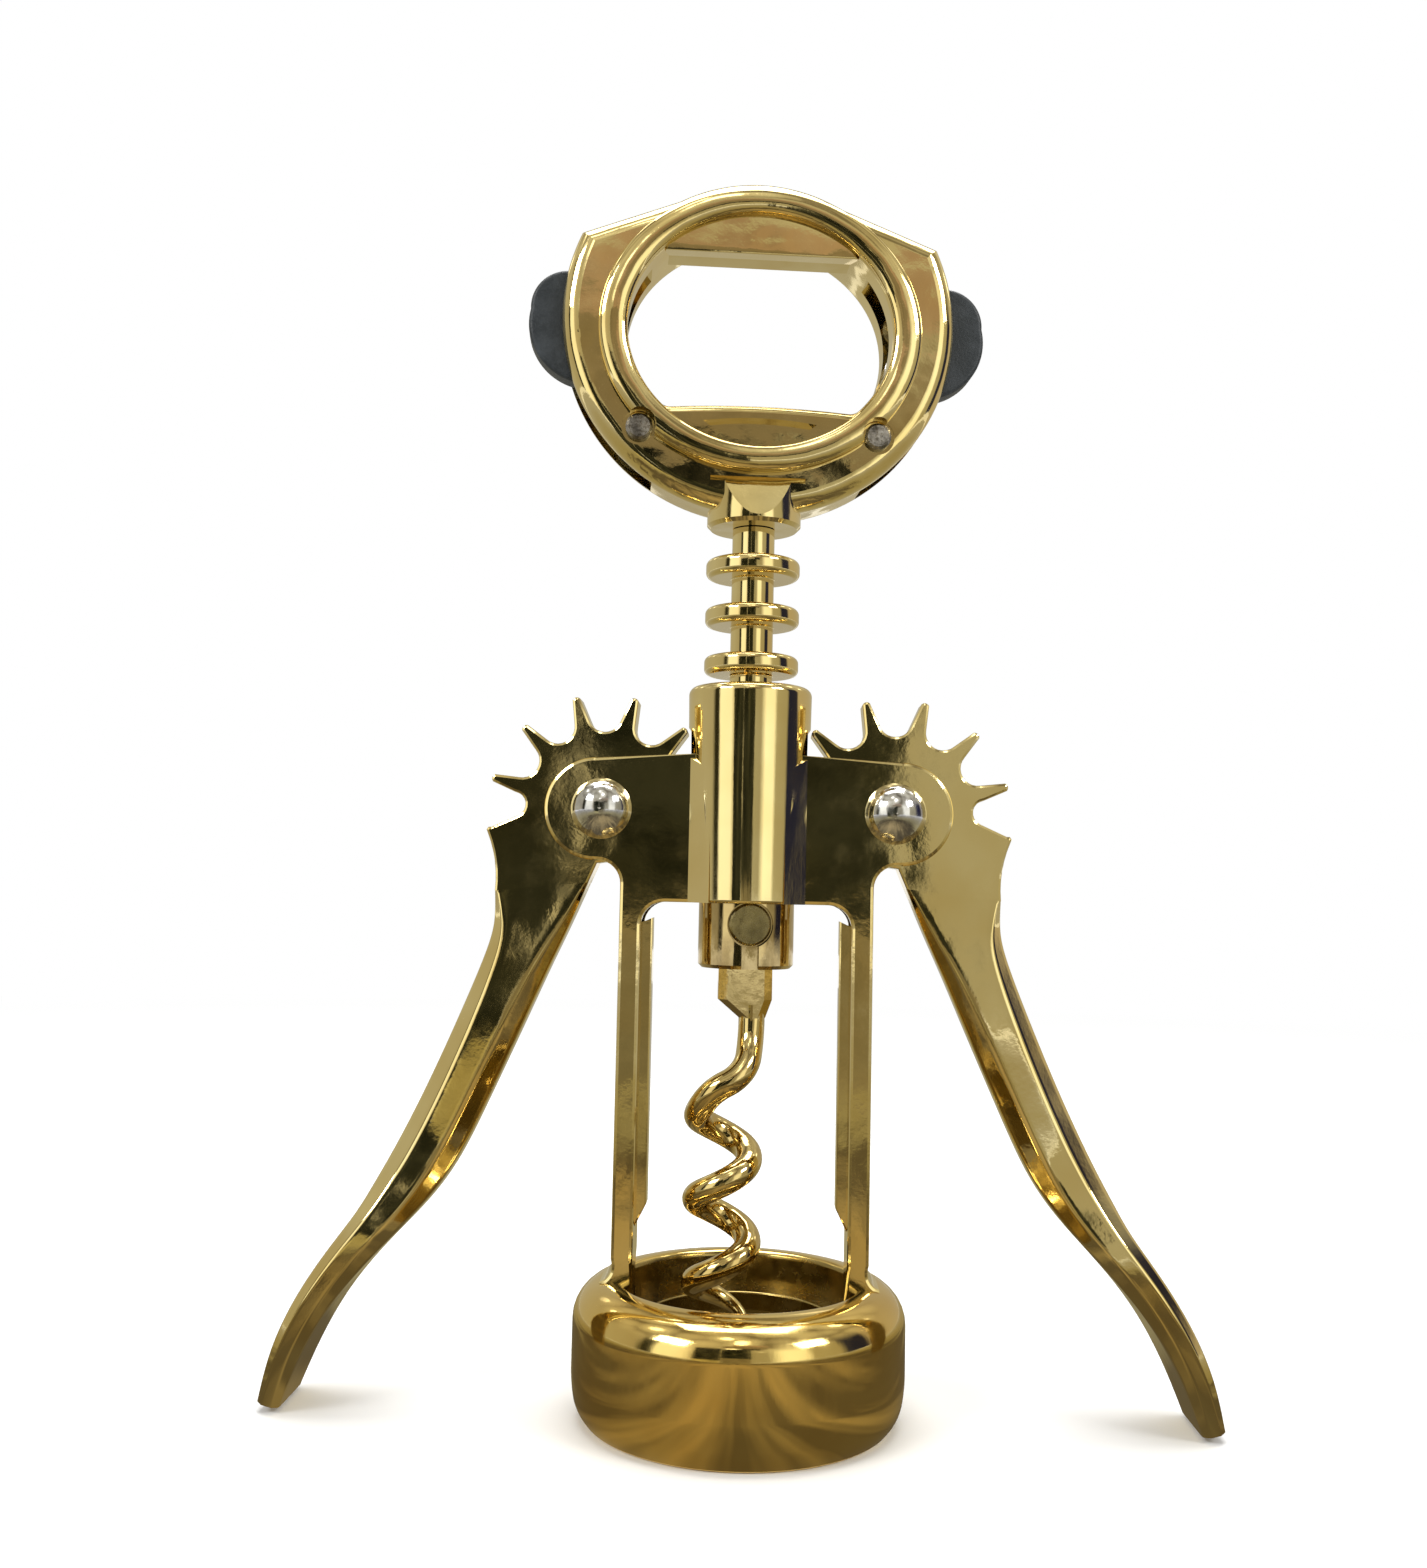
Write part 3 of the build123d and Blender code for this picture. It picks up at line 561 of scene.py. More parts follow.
class Workpiece:
    """A mesh in the making, in millimetres, with a pen that draws outlines in the front plane."""

    ARC_STEPS: int = 10
    CORNER_STEPS: int = 8
    RIM_STEPS: int = 2
    DISC_SIDES: int = 96
    FLAT: float = 0.99
    MERGE_GAP: float = 0.0005

    def __init__(self) -> None:
        """Starts with nothing on the bench."""
        self.bm = bmesh.new()
        self.first: bmesh.types.BMVert | None = None
        self.last: bmesh.types.BMVert | None = None

    def start(self, place: Point) -> None:
        """Sets the pen down, so far right and so high."""
        self.first = self.last = self.bm.verts.new((place[0], 0, place[1]))

    def line(self, *places: Point) -> None:
        """Draws straight on.

        Args:
            places: The points to draw to.
        """
        for x, z in places:
            corner = self.bm.verts.new((x, 0, z))
            self.bm.edges.new((self.last, corner))
            self.last = corner

    def arc(self, middle: Point, end: Point, steps: int = ARC_STEPS) -> None:
        """Draws an arc.

        Args:
            middle: A point on its way.
            end: Its end.
            steps: Its number of chords.
        """
        a, b, c = self.last.co.copy(), Vector((middle[0], 0, middle[1])), Vector((end[0], 0, end[1]))
        centre = circle_centre(a, b, c)
        left_turn = (b - a).x * (c - b).z - (b - a).z * (c - b).x > 0
        angle = (a - centre).angle(b - centre) + (b - centre).angle(c - centre)
        swept = bmesh.ops.spin(
            self.bm, geom=[self.last], cent=centre, axis=(0, -1, 0), dvec=(0, 0, 0),
            angle=angle if left_turn else -angle, steps=steps, use_merge=False, use_duplicate=False,
        )
        self.last = next(item for item in swept["geom_last"] if isinstance(item, bmesh.types.BMVert))
        self.last.co = c

    def close(self) -> None:
        """Joins the pen's end to its start, and fills the outline."""
        self.bm.edges.new((self.last, self.first))
        bmesh.ops.contextual_create(self.bm, geom=self.bm.edges[:])

    def round_corner(self, place: Point, radius: float) -> None:
        """Rounds the corner of the outline's face that lies nearest to a place.

        Args:
            place: How far right and how high.
            radius: The rounding's reach along both sides.
        """
        target = Vector((place[0], 0, place[1]))
        corner = min(self.bm.verts, key=lambda vert: (vert.co - target).length)
        bmesh.ops.bevel(
            self.bm, geom=[corner], offset=radius, offset_type="OFFSET", segments=self.CORNER_STEPS,
            profile=0.5, affect="VERTICES", clamp_overlap=False, material=-1,
        )

    def thicken(self, near: float, far: float) -> None:
        """Gives the outline's face its depth.

        Args:
            near: Where it starts along +Y.
            far: Where it ends.
        """
        bmesh.ops.translate(self.bm, vec=(0, near, 0), verts=self.bm.verts)
        grown = bmesh.ops.extrude_face_region(self.bm, geom=self.bm.faces[:])["geom"]
        verts = [item for item in grown if isinstance(item, bmesh.types.BMVert)]
        bmesh.ops.translate(self.bm, vec=(0, far - near, 0), verts=verts)
        bmesh.ops.recalc_face_normals(self.bm, faces=self.bm.faces)

    def break_rims(self, width: float, spared: Callable[[Vector], bool]) -> None:
        """Bevels the edges round the flat front and back.

        Args:
            width: The bevel's width.
            spared: Says whether an edge with its middle at a place stays sharp.
        """
        rims = [
            edge for edge in self.bm.edges
            if sorted(abs(face.normal.y) > self.FLAT for face in edge.link_faces) == [False, True]
            and not spared((edge.verts[0].co + edge.verts[1].co) / 2)
        ]
        bmesh.ops.bevel(
            self.bm, geom=rims, offset=width, offset_type="OFFSET", segments=self.RIM_STEPS, profile=0.5,
            affect="EDGES", clamp_overlap=False, material=-1,
        )

    def lathe(self, profile: Sequence[Corner], sides: int) -> None:
        """Turns a closed profile about the upright axis.

        Args:
            profile: Its corners.
            sides: The number of sides.
        """
        places = [(corner.out, corner.up) for corner in profile]
        self.start(places[0])
        self.line(*places[1:])
        self.close()
        for place, corner in zip(places, profile):
            if corner.rounding:
                self.round_corner(place, corner.rounding)
        bmesh.ops.delete(self.bm, geom=self.bm.faces[:], context="FACES_ONLY")
        bmesh.ops.spin(
            self.bm, geom=self.bm.verts[:] + self.bm.edges[:], cent=(0, 0, 0), axis=(0, 0, 1),
            dvec=(0, 0, 0), angle=math.tau, steps=sides, use_merge=True, use_duplicate=False,
        )
        bmesh.ops.recalc_face_normals(self.bm, faces=self.bm.faces)

    def disc(self, place: Point, radius: float, near: float, far: float) -> None:
        """Makes a disc that looks along Y.

        Args:
            place: Its middle, as how far right and how high.
            radius: Its radius.
            near: Where it starts along +Y.
            far: Where it ends.
        """
        turn = Matrix.Rotation(math.pi / 2, 4, "X")
        bmesh.ops.create_cone(
            self.bm, cap_ends=True, segments=self.DISC_SIDES, radius1=radius, radius2=radius,
            depth=far - near, matrix=Matrix.Translation((place[0], (near + far) / 2, place[1])) @ turn,
        )

    def turn(self, degrees: float, axis: str) -> None:
        """Turns the piece about an axis of the frame."""
        matrix = Matrix.Rotation(math.radians(degrees), 3, axis)
        bmesh.ops.rotate(self.bm, matrix=matrix, verts=self.bm.verts)

    def flip(self) -> None:
        """Turns the piece into its mirror image across the middle."""
        bmesh.ops.scale(self.bm, vec=(-1, 1, 1), verts=self.bm.verts)
        bmesh.ops.reverse_faces(self.bm, faces=self.bm.faces)

    def off_bench(self, bench: bpy.types.Object) -> None:
        """Takes the mesh back, with the object's modifiers applied.

        Args:
            bench: The object, which is then gone.
        """
        bpy.context.view_layer.update()
        evaluated = bench.evaluated_get(bpy.context.evaluated_depsgraph_get())
        shaped = bpy.data.meshes.new_from_object(evaluated)
        bpy.data.objects.remove(bench)
        self.bm = bmesh.new()
        self.bm.from_mesh(shaped)
        bpy.data.meshes.remove(shaped)

    def combine(self, others: Sequence[Workpiece], fitting: Fitting) -> None:
        """Cuts other pieces out of this one, or welds them to it.

        Args:
            others: The pieces, which are used up.
            fitting: Whether they are cut or welded.
        """
        bench = to_scene("bench", self.bm)
        tools = [to_scene(f"tool_{number}", other.bm) for number, other in enumerate(others)]
        for tool in tools:
            modifier = bench.modifiers.new("fitting", "BOOLEAN")
            modifier.operation = fitting.value
            modifier.solver = "EXACT"
            modifier.object = tool
        self.off_bench(bench)
        for tool in tools:
            bpy.data.objects.remove(tool)

    def smooth(self, levels: int) -> None:
        """Subdivides the mesh by its creases.

        Args:
            levels: The number of subdivisions.
        """
        bench = to_scene("bench", self.bm)
        modifier = bench.modifiers.new("smooth", "SUBSURF")
        modifier.levels = modifier.render_levels = levels
        self.off_bench(bench)

    def finish(
        self, name: str, paints: Paints, paint: Paint, body: Body, *nodes: str, sharp_deg: float = 40.0
    ) -> bpy.types.Object:
        """Makes the piece an object of the scene.

        Args:
            name: Its name.
            paints: The finished materials.
            paint: The paint that it gets.
            body: The body that it rides on.
            nodes: The frame's nodes that it stands for.
            sharp_deg: The least angle of an edge that stays sharp.

        Returns:
            The object.
        """
        bmesh.ops.remove_doubles(self.bm, verts=self.bm.verts, dist=self.MERGE_GAP)
        broad = [face for face in self.bm.faces if len(face.verts) > 4]
        bmesh.ops.triangulate(self.bm, faces=broad, quad_method="BEAUTY", ngon_method="EAR_CLIP")
        bmesh.ops.scale(self.bm, vec=(MM, MM, MM), verts=self.bm.verts)
        for face in self.bm.faces:
            face.smooth = True
        for edge in self.bm.edges:
            edge.smooth = edge.calc_face_angle(0.0) < math.radians(sharp_deg)
        piece = to_scene(name, self.bm)
        modifier = piece.modifiers.new("flat_faces_first", "WEIGHTED_NORMAL")
        modifier.keep_sharp = True
        paints.coat(piece.data, paint)
        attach(piece, body.value)
        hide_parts(*nodes)
        log.info("%s: %d faces on %s", name, len(piece.data.polygons), body.value)
        return piece


@dataclass
class Frame:
    """The one casting that stands on the bottle: bell, posts and ribs, ears, and the rack's sleeve."""

    bell_radius: float = 22.4
    bell_height: float = 18.0
    bell_wall: float = 2.6
    shoulder_round: float = 5.0
    foot_rise: float = 4.6
    foot_turn: float = 1.7
    foot_round: float = 1.19
    foot_width: float = 0.6
    socket_radius: float = 15.75
    socket_wall: float = 1.6
    socket_chamfer: float = 0.8
    mouth_radius: float = 16.0
    mouth_round: float = 0.9
    bell_sides: int = 160
    shelf_radius: float = 12.5
    shelf_low: float = 10.5
    shelf_high: float = 13.0
    sleeve_bore: float = 6.65
    sleeve_foot: Point = (8.05, 68.7)
    sleeve_head: Point = (8.55, 98.5)
    sleeve_round: float = 1.2
    sleeve_sides: int = 128
    facet: tuple[Point, ...] = ((7.95, 3.4), (7.95, 4.2), (5.04, 6.47), (5.3, 5.6), (6.9, 3.4))
    facet_fall: float = 0.75
    ear_radius: float = 7.0
    ear_steps: int = 40
    ear_shift: float = 0.8
    ear_root_rise: float = 0.7
    pocket_radius: float = 16.38
    pocket_width: float = 5.4
    depth: float = 8.4
    post_foot_x: float = 17.2
    post_head_x: float = 17.18
    post_width: float = 2.9
    post_flare: float = 1.4
    flare_rise: float = 3.0
    post_corner: float = 3.2
    rib_reach: float = 1.5
    rib_depth: float = 3.2
    rib_foot: float = 24.9
    rim: float = 0.45
    seat_bite: float = 0.1
    sharp_deg: float = 18.0

    def bell(self) -> Workpiece:
        """Turns the bell, with its hollow underside, shelf and rounded mouth.

        Returns:
            The bell.
        """
        out, top = self.bell_radius, self.bell_height
        hollow = out - self.bell_wall
        wall = self.socket_radius + self.socket_wall
        profile = [
            Corner(self.socket_radius, self.socket_chamfer),
            Corner(self.socket_radius + self.socket_chamfer, 0),
            Corner(wall, 0),
            Corner(wall, top - self.shoulder_round),
            Corner(hollow, top - self.shoulder_round),
            Corner(hollow, 0),
            Corner(hollow + self.foot_width, 0, self.foot_width / 2),
            Corner(out - self.foot_width, self.foot_turn, self.foot_round),
            Corner(out, self.foot_rise, self.foot_turn),
            Corner(out, top, self.shoulder_round),
            Corner(self.mouth_radius, top, self.mouth_round),
            Corner(self.mouth_radius, self.shelf_high),
            Corner(self.shelf_radius, self.shelf_high, self.mouth_round / 3),
            Corner(self.shelf_radius, self.shelf_low),
            Corner(self.socket_radius, self.shelf_low),
        ]
        work = Workpiece()
        work.lathe(profile, self.bell_sides)
        return work

    def pocket(self) -> Workpiece:
        """Makes the space that the right gear turns in.

        Returns:
            The space.
        """
        work = Workpiece()
        work.disc(PIVOT, self.pocket_radius, -self.pocket_width / 2, self.pocket_width / 2)
        return work

    def ear_and_post(self) -> Workpiece:
        """Draws the right ear, web and post as one, and cuts the gear's pocket.

        Returns:
            The piece.
        """
        x, z = PIVOT
        low, high = z - self.ear_radius, z + self.ear_radius
        ear_x = x + self.ear_shift
        sleeve_x, sleeve_z = self.sleeve_foot
        seat_x = self.sleeve_bore + self.seat_bite
        head_inner, foot_inner = self.post_head_x - self.post_width, self.post_foot_x - self.post_width
        flare_z, flare_x = self.bell_height + self.flare_rise, self.post_foot_x + self.post_flare
        work = Workpiece()
        work.start((seat_x, sleeve_z))
        work.line(
            (head_inner, sleeve_z), (foot_inner, flare_z), (foot_inner, self.shelf_high),
            (flare_x, self.shelf_high), (flare_x, self.bell_height),
        )
        work.arc(
            (self.post_foot_x + self.post_flare / 4, self.bell_height + self.flare_rise / 4),
            (self.post_foot_x, flare_z),
        )
        work.line((self.post_head_x, low), (ear_x, low))
        work.arc((ear_x + self.ear_radius, z), (ear_x, high), self.ear_steps)
        work.line((sleeve_x, high + self.ear_root_rise), (seat_x, high + self.ear_root_rise))
        work.close()
        work.round_corner((head_inner, sleeve_z), self.post_corner)
        work.round_corner((self.post_head_x, low), self.post_corner)
        work.thicken(-self.depth / 2, self.depth / 2)
        work.break_rims(self.rim, lambda place: place.x < sleeve_x - self.rim or place.z < self.bell_height)
        work.combine([self.pocket()], Fitting.CUT)
        return work

    def rib(self) -> Workpiece:
        """Draws the right post's stiffening rib, and cuts the gear's pocket.

        Returns:
            The rib.
        """
        head_inner = self.post_head_x - self.post_width
        inner, outer = head_inner - self.rib_reach, self.post_head_x - self.post_width / 2
        top = self.sleeve_foot[1] + self.rib_reach
        work = Workpiece()
        work.start((outer, top))
        work.line(
            (inner, top), (inner, self.rib_foot + 2 * self.rib_reach), (head_inner, self.rib_foot),
            (outer, self.rib_foot),
        )
        work.close()
        work.thicken(-self.rib_depth / 2, self.rib_depth / 2)
        work.break_rims(self.rim / 2, lambda place: place.x > head_inner)
        work.combine([self.pocket()], Fitting.CUT)
        return work

    def sleeve_facet(self, facing: int) -> Workpiece:
        """Draws a flat facet, slant at its top, that leads the web's face to the sleeve's right side.

        Its outline is the one seen from above, so it is drawn flat and then stood up.

        Args:
            facing: Which way along Y it faces, 1 or -1.

        Returns:
            The facet.
        """
        top = PIVOT[1] + self.ear_radius + self.ear_root_rise
        work = Workpiece()
        outline = [(x, facing * reach) for x, reach in self.facet]
        work.start(outline[0])
        work.line(*outline[1:])
        work.close()
        work.thicken(self.sleeve_foot[1], top)
        work.turn(90, "X")
        for vert in work.bm.verts:
            if vert.co.z > PIVOT[1]:
                vert.co.z -= self.facet_fall * (abs(vert.co.y) - self.facet[0][1])
        return work

    def sleeve(self) -> Workpiece:
        """Turns the tapered sleeve, welds its facets on, and opens the sides to the gears.

        Returns:
            The sleeve.
        """
        profile = [
            Corner(self.sleeve_bore, self.sleeve_foot[1], self.rim / 2),
            Corner(*self.sleeve_foot, self.rim),
            Corner(*self.sleeve_head, self.sleeve_round),
            Corner(self.sleeve_bore, self.sleeve_head[1], self.rim / 2),
        ]
        work = Workpiece()
        work.lathe(profile, self.sleeve_sides)
        right_facets, left_facets = ([self.sleeve_facet(facing) for facing in (1, -1)] for _ in Side)
        left_pocket = self.pocket()
        for mirrored in (*left_facets, left_pocket):
            mirrored.flip()
        work.combine(right_facets + left_facets, Fitting.WELD)
        work.combine([self.pocket(), left_pocket], Fitting.CUT)
        return work

    def build(self, paints: Paints) -> None:
        """Builds and paints the frame's pieces.

        Args:
            paints: The finished materials.
        """
        bell = self.bell().finish("bell", paints, Paint.BELL, Body.FRAME, "frame").data
        # Painted shade: faces within the mouth's reach get the darker gold of the bell's shaded inside
        bell.materials.append(paints.mixed[Paint.INSIDE])
        painted_shade_reach = (self.mouth_radius + self.mouth_round / 4) * MM
        for face in bell.polygons:
            face.material_index = int(face.center.xy.length < painted_shade_reach)
        self.sleeve().finish("rack_sleeve", paints, Paint.TURNED, Body.FRAME, "frame")
        for side in Side:
            for part, work in (("ear_and_post", self.ear_and_post()), ("post_rib", self.rib())):
                if side is Side.LEFT:
                    work.flip()
                name = f"{side.value}_{part}"
                work.finish(name, paints, Paint.CAST, Body.FRAME, "frame", sharp_deg=self.sharp_deg)


@dataclass
class Rack:
    """The round rack: a tube with soft rimmed flanges that the gears push on."""

    flanges_below: int = 1
    flanges_above: int = 5
    bore_radius: float = 1.95
    core_radius: float = 2.95
    flange_radius: float = 6.55
    flange_thickness: float = 2.6
    neck: float = 4.3
    rim_round: float = 0.85
    root_round: float = 0.2
    sides: int = 96

    def build(self, paints: Paints) -> None:
        """Builds and paints the rack.

        Args:
            paints: The finished materials.
        """
        pitch = math.radians(TOOTH_DEG) * PITCH_RADIUS
        profile: list[Corner] = []
        for step in range(-self.flanges_below, self.flanges_above + 1):
            low = PIVOT[1] + step * pitch - self.flange_thickness / 2
            high = low + self.flange_thickness
            profile += [
                Corner(self.core_radius, low, self.root_round),
                Corner(self.flange_radius, low, self.rim_round),
                Corner(self.flange_radius, high, self.rim_round),
                Corner(self.core_radius, high, self.root_round),
            ]
        top = profile[-1].up + self.neck
        profile[0] = profile[0]._replace(out=self.bore_radius)
        profile += [Corner(self.core_radius, top), Corner(self.bore_radius, top)]
        work = Workpiece()
        work.lathe(profile, self.sides)
        work.finish("rack_with_flanges", paints, Paint.TURNED, Body.RACK, "rack")


@dataclass
class Blade:
    """The cap lifting blade's face, which lies just behind the front of the ring's window."""

    half_width: float = 13.4
    edge_z: float = 159.2
    crown: float = 5.2
    front: float = -5.3
    back: float = -1.5
    front_drop: float = 0.8
    rim: float = 0.3
    crown_steps: int = 24
    sharp_deg: float = 25.0

    def build(self, paints: Paints) -> None:
        """Builds and paints the blade's face.

        Args:
            paints: The finished materials.
        """
        work = Workpiece()
        work.start((-self.half_width, self.edge_z))
        work.line((self.half_width, self.edge_z))
        crown_end = (-self.half_width, self.edge_z + self.rim)
        work.arc((0, self.edge_z + self.crown), crown_end, self.crown_steps)
        work.close()
        work.thicken(self.front, self.back)
        front_foot = [
            vert for vert in work.bm.verts
            if vert.co.z < self.edge_z + self.rim / 2 and vert.co.y < (self.front + self.back) / 2
        ]
        bmesh.ops.translate(work.bm, vec=(0, 0, -self.front_drop), verts=front_foot)
        work.break_rims(self.rim, lambda place: place.z > self.edge_z or place.y > self.front / 2)
        work.turn(HANDLE_TURN_DEG, "Z")
        work.finish("cap_blade_face", paints, Paint.RING, Body.HANDLE, sharp_deg=self.sharp_deg)


@dataclass
class OvalBand:
    """The domed front of the ring's raised oval, open round the cutter's two pivot pins."""

    centre_z: float = 147.603
    middle_x: float = 20.4
    middle_z: float = 18.1
    half_width: float = 1.97
    dome: float = 0.95
    seat: float = -5.9
    pin: Point = (16.5, 133.403)
    pin_clearance: float = 2.3
    steps: int = 144
    section_steps: int = 28

    def build(self, paints: Paints) -> None:
        """Builds and paints the band.

        Args:
            paints: The finished materials.
        """
        work = Workpiece()
        bm = work.bm
        section = bmesh.ops.create_circle(bm, segments=self.section_steps, radius=1)["verts"]
        bmesh.ops.scale(bm, vec=(self.half_width, self.dome, 1), verts=section)
        bmesh.ops.translate(bm, vec=(self.middle_x, self.seat, 0), verts=section)
        bmesh.ops.spin(
            bm, geom=bm.edges[:], cent=(0, 0, 0), axis=(0, 1, 0), dvec=(0, 0, 0), angle=math.tau,
            steps=self.steps, use_merge=True, use_duplicate=False,
        )
        bmesh.ops.scale(bm, vec=(1, 1, self.middle_z / self.middle_x), verts=bm.verts)
        bmesh.ops.translate(bm, vec=(0, 0, self.centre_z), verts=bm.verts)
        bmesh.ops.recalc_face_normals(bm, faces=bm.faces)
        right_hole, left_hole = Workpiece(), Workpiece()
        for hole in (right_hole, left_hole):
            hole.disc(self.pin, self.pin_clearance, 2 * self.seat, self.seat / 2)
        left_hole.flip()
        work.combine([right_hole, left_hole], Fitting.CUT)
        work.turn(HANDLE_TURN_DEG, "Z")
        work.finish("oval_band", paints, Paint.RING, Body.HANDLE)


class ArmSection(NamedTuple):
    """A section of the arm, in shares of the arm's reach and drop and of the paddle's width."""

    inner_out: float
    inner_down: float
    outer_out: float
    outer_down: float
    thickness: float
    corner: float


@dataclass
class Lever:
    """A lever: the toothed sector on its rivet, and the arm that turns into a broad paddle."""

    width: float = 5.0
    tip_radius: float = 15.68
    shoulder_radius: float = 12.38
    root_radius: float = 10.68
    first_tooth_deg: float = 15.0
    teeth: int = 7
    tip_width: float = 1.05
    shoulder_width: float = 2.1
    spur: Point = (15.8, -3.5)
    spur_hollow: float = 0.5
    spur_root: Point = (11.7, -1.1)
    valley_deg: float = 2.0
    crotch: Point = (0.6, -7.4)
    rim: float = 0.34
    sector_sharp_deg: float = 18.0
    root_reach: float = 1.0
    touch: float = 0.01
    merge_gap: float = 0.001
    arm_reach: float = 44.0
    arm_drop: float = 80.8
    paddle_width: float = 15.4
    edge_crease: float = 0.72
    smoothing: int = 3
    arm_sharp_deg: float = 35.0
    sections: Sequence[ArmSection] = (
        ArmSection(0.040, 0.125, 0.331, 0.142, 0.325, 0.08),
        ArmSection(0.100, 0.205, 0.330, 0.182, 0.360, 0.22),
        ArmSection(0.150, 0.262, 0.338, 0.222, 0.416, 0.28),
        ArmSection(0.236, 0.371, 0.411, 0.324, 0.480, 0.30),
        ArmSection(0.341, 0.500, 0.514, 0.458, 0.494, 0.30),
        ArmSection(0.425, 0.600, 0.614, 0.572, 0.545, 0.29),
        ArmSection(0.516, 0.667, 0.673, 0.635, 0.753, 0.28),
        ArmSection(0.598, 0.714, 0.709, 0.676, 0.922, 0.28),
        ArmSection(0.709, 0.778, 0.791, 0.735, 1.000, 0.28),
        ArmSection(0.805, 0.847, 0.886, 0.814, 1.000, 0.28),
        ArmSection(0.877, 0.924, 0.959, 0.901, 0.922, 0.28),
        ArmSection(0.927, 0.997, 0.995, 0.987, 0.740, 0.28),
    )

    def polar(self, radius: float, degrees: float) -> Point:
        """Returns the point so far from the pivot, at so many degrees up from +X."""
        return radius * math.cos(math.radians(degrees)), radius * math.sin(math.radians(degrees))

    def flank(self, degrees: float, radius: float, width: float) -> tuple[Point, Point]:
        """Returns the lower and the upper side of a tooth at a radius, where it has this width."""
        half = math.degrees(math.asin(width / 2 / radius))
        return self.polar(radius, degrees - half), self.polar(radius, degrees + half)

    def end_points(self, section: ArmSection) -> tuple[Vector, Vector]:
        """Returns the inner and the outer end of a section in the front plane."""
        inner = Vector((self.arm_reach * section.inner_out, 0, -self.arm_drop * section.inner_down))
        return inner, Vector((self.arm_reach * section.outer_out, 0, -self.arm_drop * section.outer_down))

    def outline(self) -> Workpiece:
        """Draws the sector's outline: teeth, crotch, the arm's root, spur and the valley above it.

        Returns:
            The filled outline.
        """
        root_inner, root_outer = self.end_points(self.sections[0])
        work = Workpiece()
        work.start(self.flank(self.first_tooth_deg, self.shoulder_radius, self.shoulder_width)[0])
        for number in range(self.teeth):
            angle = self.first_tooth_deg + number * TOOTH_DEG
            low, high = self.flank(angle, self.shoulder_radius, self.shoulder_width)
            tip_low, tip_high = self.flank(angle, self.tip_radius, self.tip_width)
            if number:
                work.arc(self.polar(self.root_radius, angle - TOOTH_DEG / 2), low)
            work.line(tip_low)
            work.arc(self.polar(self.tip_radius + self.tip_width / 4, angle), tip_high, steps=4)
            work.line(high)
        crotch_x, crotch_z = self.crotch
        work.line(
            (-crotch_x - self.shoulder_radius / 2, crotch_z + self.shoulder_width / 2), self.crotch,
            (root_inner.x, root_inner.z), (root_outer.x, root_outer.z),
        )
        spur_x, spur_z = self.spur
        hollow = ((root_outer.x + spur_x) / 2 - self.spur_hollow, (root_outer.z + spur_z) / 2)
        work.arc(hollow, self.spur, steps=6)
        work.arc(
            (spur_x + self.tip_width / 8, spur_z + self.tip_width / 2),
            (spur_x - self.tip_width / 2, spur_z + self.tip_width * 3 / 4), steps=3,
        )
        work.line(self.spur_root)
        start = work.first.co.copy()
        work.arc(self.polar(self.root_radius, self.valley_deg), (start.x, start.z), steps=8)
        bmesh.ops.remove_doubles(work.bm, verts=work.bm.verts, dist=self.merge_gap)
        bmesh.ops.contextual_create(work.bm, geom=work.bm.edges[:])
        return work

    def sector(self) -> Workpiece:
        """Makes the toothed sector, with a bevelled rim that stops where the arm goes on.

        Returns:
            The sector.
        """
        root_inner, root_outer = self.end_points(self.sections[0])
        root_line = (root_outer - root_inner).normalized()
        root_middle = (root_inner + root_outer) / 2

        def at_root(place: Vector) -> bool:
            """Says whether a place lies on the line where the arm starts.

            Args:
                place: The place.

            Returns:
                Whether it does.
            """
            gap = place - root_middle
            gap.y = 0
            aside = gap - root_line * gap.dot(root_line)
            return gap.length < self.root_reach and aside.length < self.touch

        work = self.outline()
        work.thicken(-self.width / 2, self.width / 2)
        work.break_rims(self.rim, at_root)
        return work

    def ring(self, work: Workpiece, section: ArmSection) -> list[bmesh.types.BMEdge]:
        """Adds a section of the arm, a rectangle with its corners cut.

        Args:
            work: The arm.
            section: The section.

        Returns:
            The section's edges.
        """
        inner, outer = self.end_points(section)
        length, thickness = (outer - inner).length, self.paddle_width * section.thickness
        verts = bmesh.ops.create_grid(work.bm, x_segments=1, y_segments=1, size=0.5)["verts"]
        bmesh.ops.scale(work.bm, vec=(length, thickness, 1), verts=verts)
        bevelled = bmesh.ops.bevel(
            work.bm, geom=verts, offset=min(length, thickness) * section.corner, offset_type="OFFSET",
            segments=1, profile=0.5, affect="VERTICES", clamp_overlap=False, material=-1,
        )
        faces = {face for vert in bevelled["verts"] for face in vert.link_faces}
        octagon = max(faces, key=lambda face: face.calc_area())
        edges = list(octagon.edges)
        across, back = (outer - inner).normalized(), Vector((0, 1, 0))
        turn = Matrix((across, back, across.cross(back))).transposed()
        placed = Matrix.Translation((inner + outer) / 2) @ turn.to_4x4()
        bmesh.ops.transform(work.bm, matrix=placed, verts=list(octagon.verts))
        bmesh.ops.delete(work.bm, geom=[octagon], context="FACES_ONLY")
        return edges

    def arm(self) -> Workpiece:
        """Draws the arm's skin through its sections, closes its ends and smooths it.

        Returns:
            The arm.
        """
        work = Workpiece()
        crease = work.bm.edges.layers.float.new("crease_edge")
        rings = [self.ring(work, section) for section in self.sections]
        for ring, following in zip(rings, rings[1:]):
            bmesh.ops.bridge_loops(work.bm, edges=ring + following)
        around = {edge for ring in rings for edge in ring}
        for edge in work.bm.edges:
            edge[crease] = 0.0 if edge in around else self.edge_crease
        for ring in (rings[0], rings[-1]):
            bmesh.ops.contextual_create(work.bm, geom=ring)
            for edge in ring:
                edge[crease] = 1.0
        bmesh.ops.recalc_face_normals(work.bm, faces=work.bm.faces)
        work.smooth(self.smoothing)
        return work

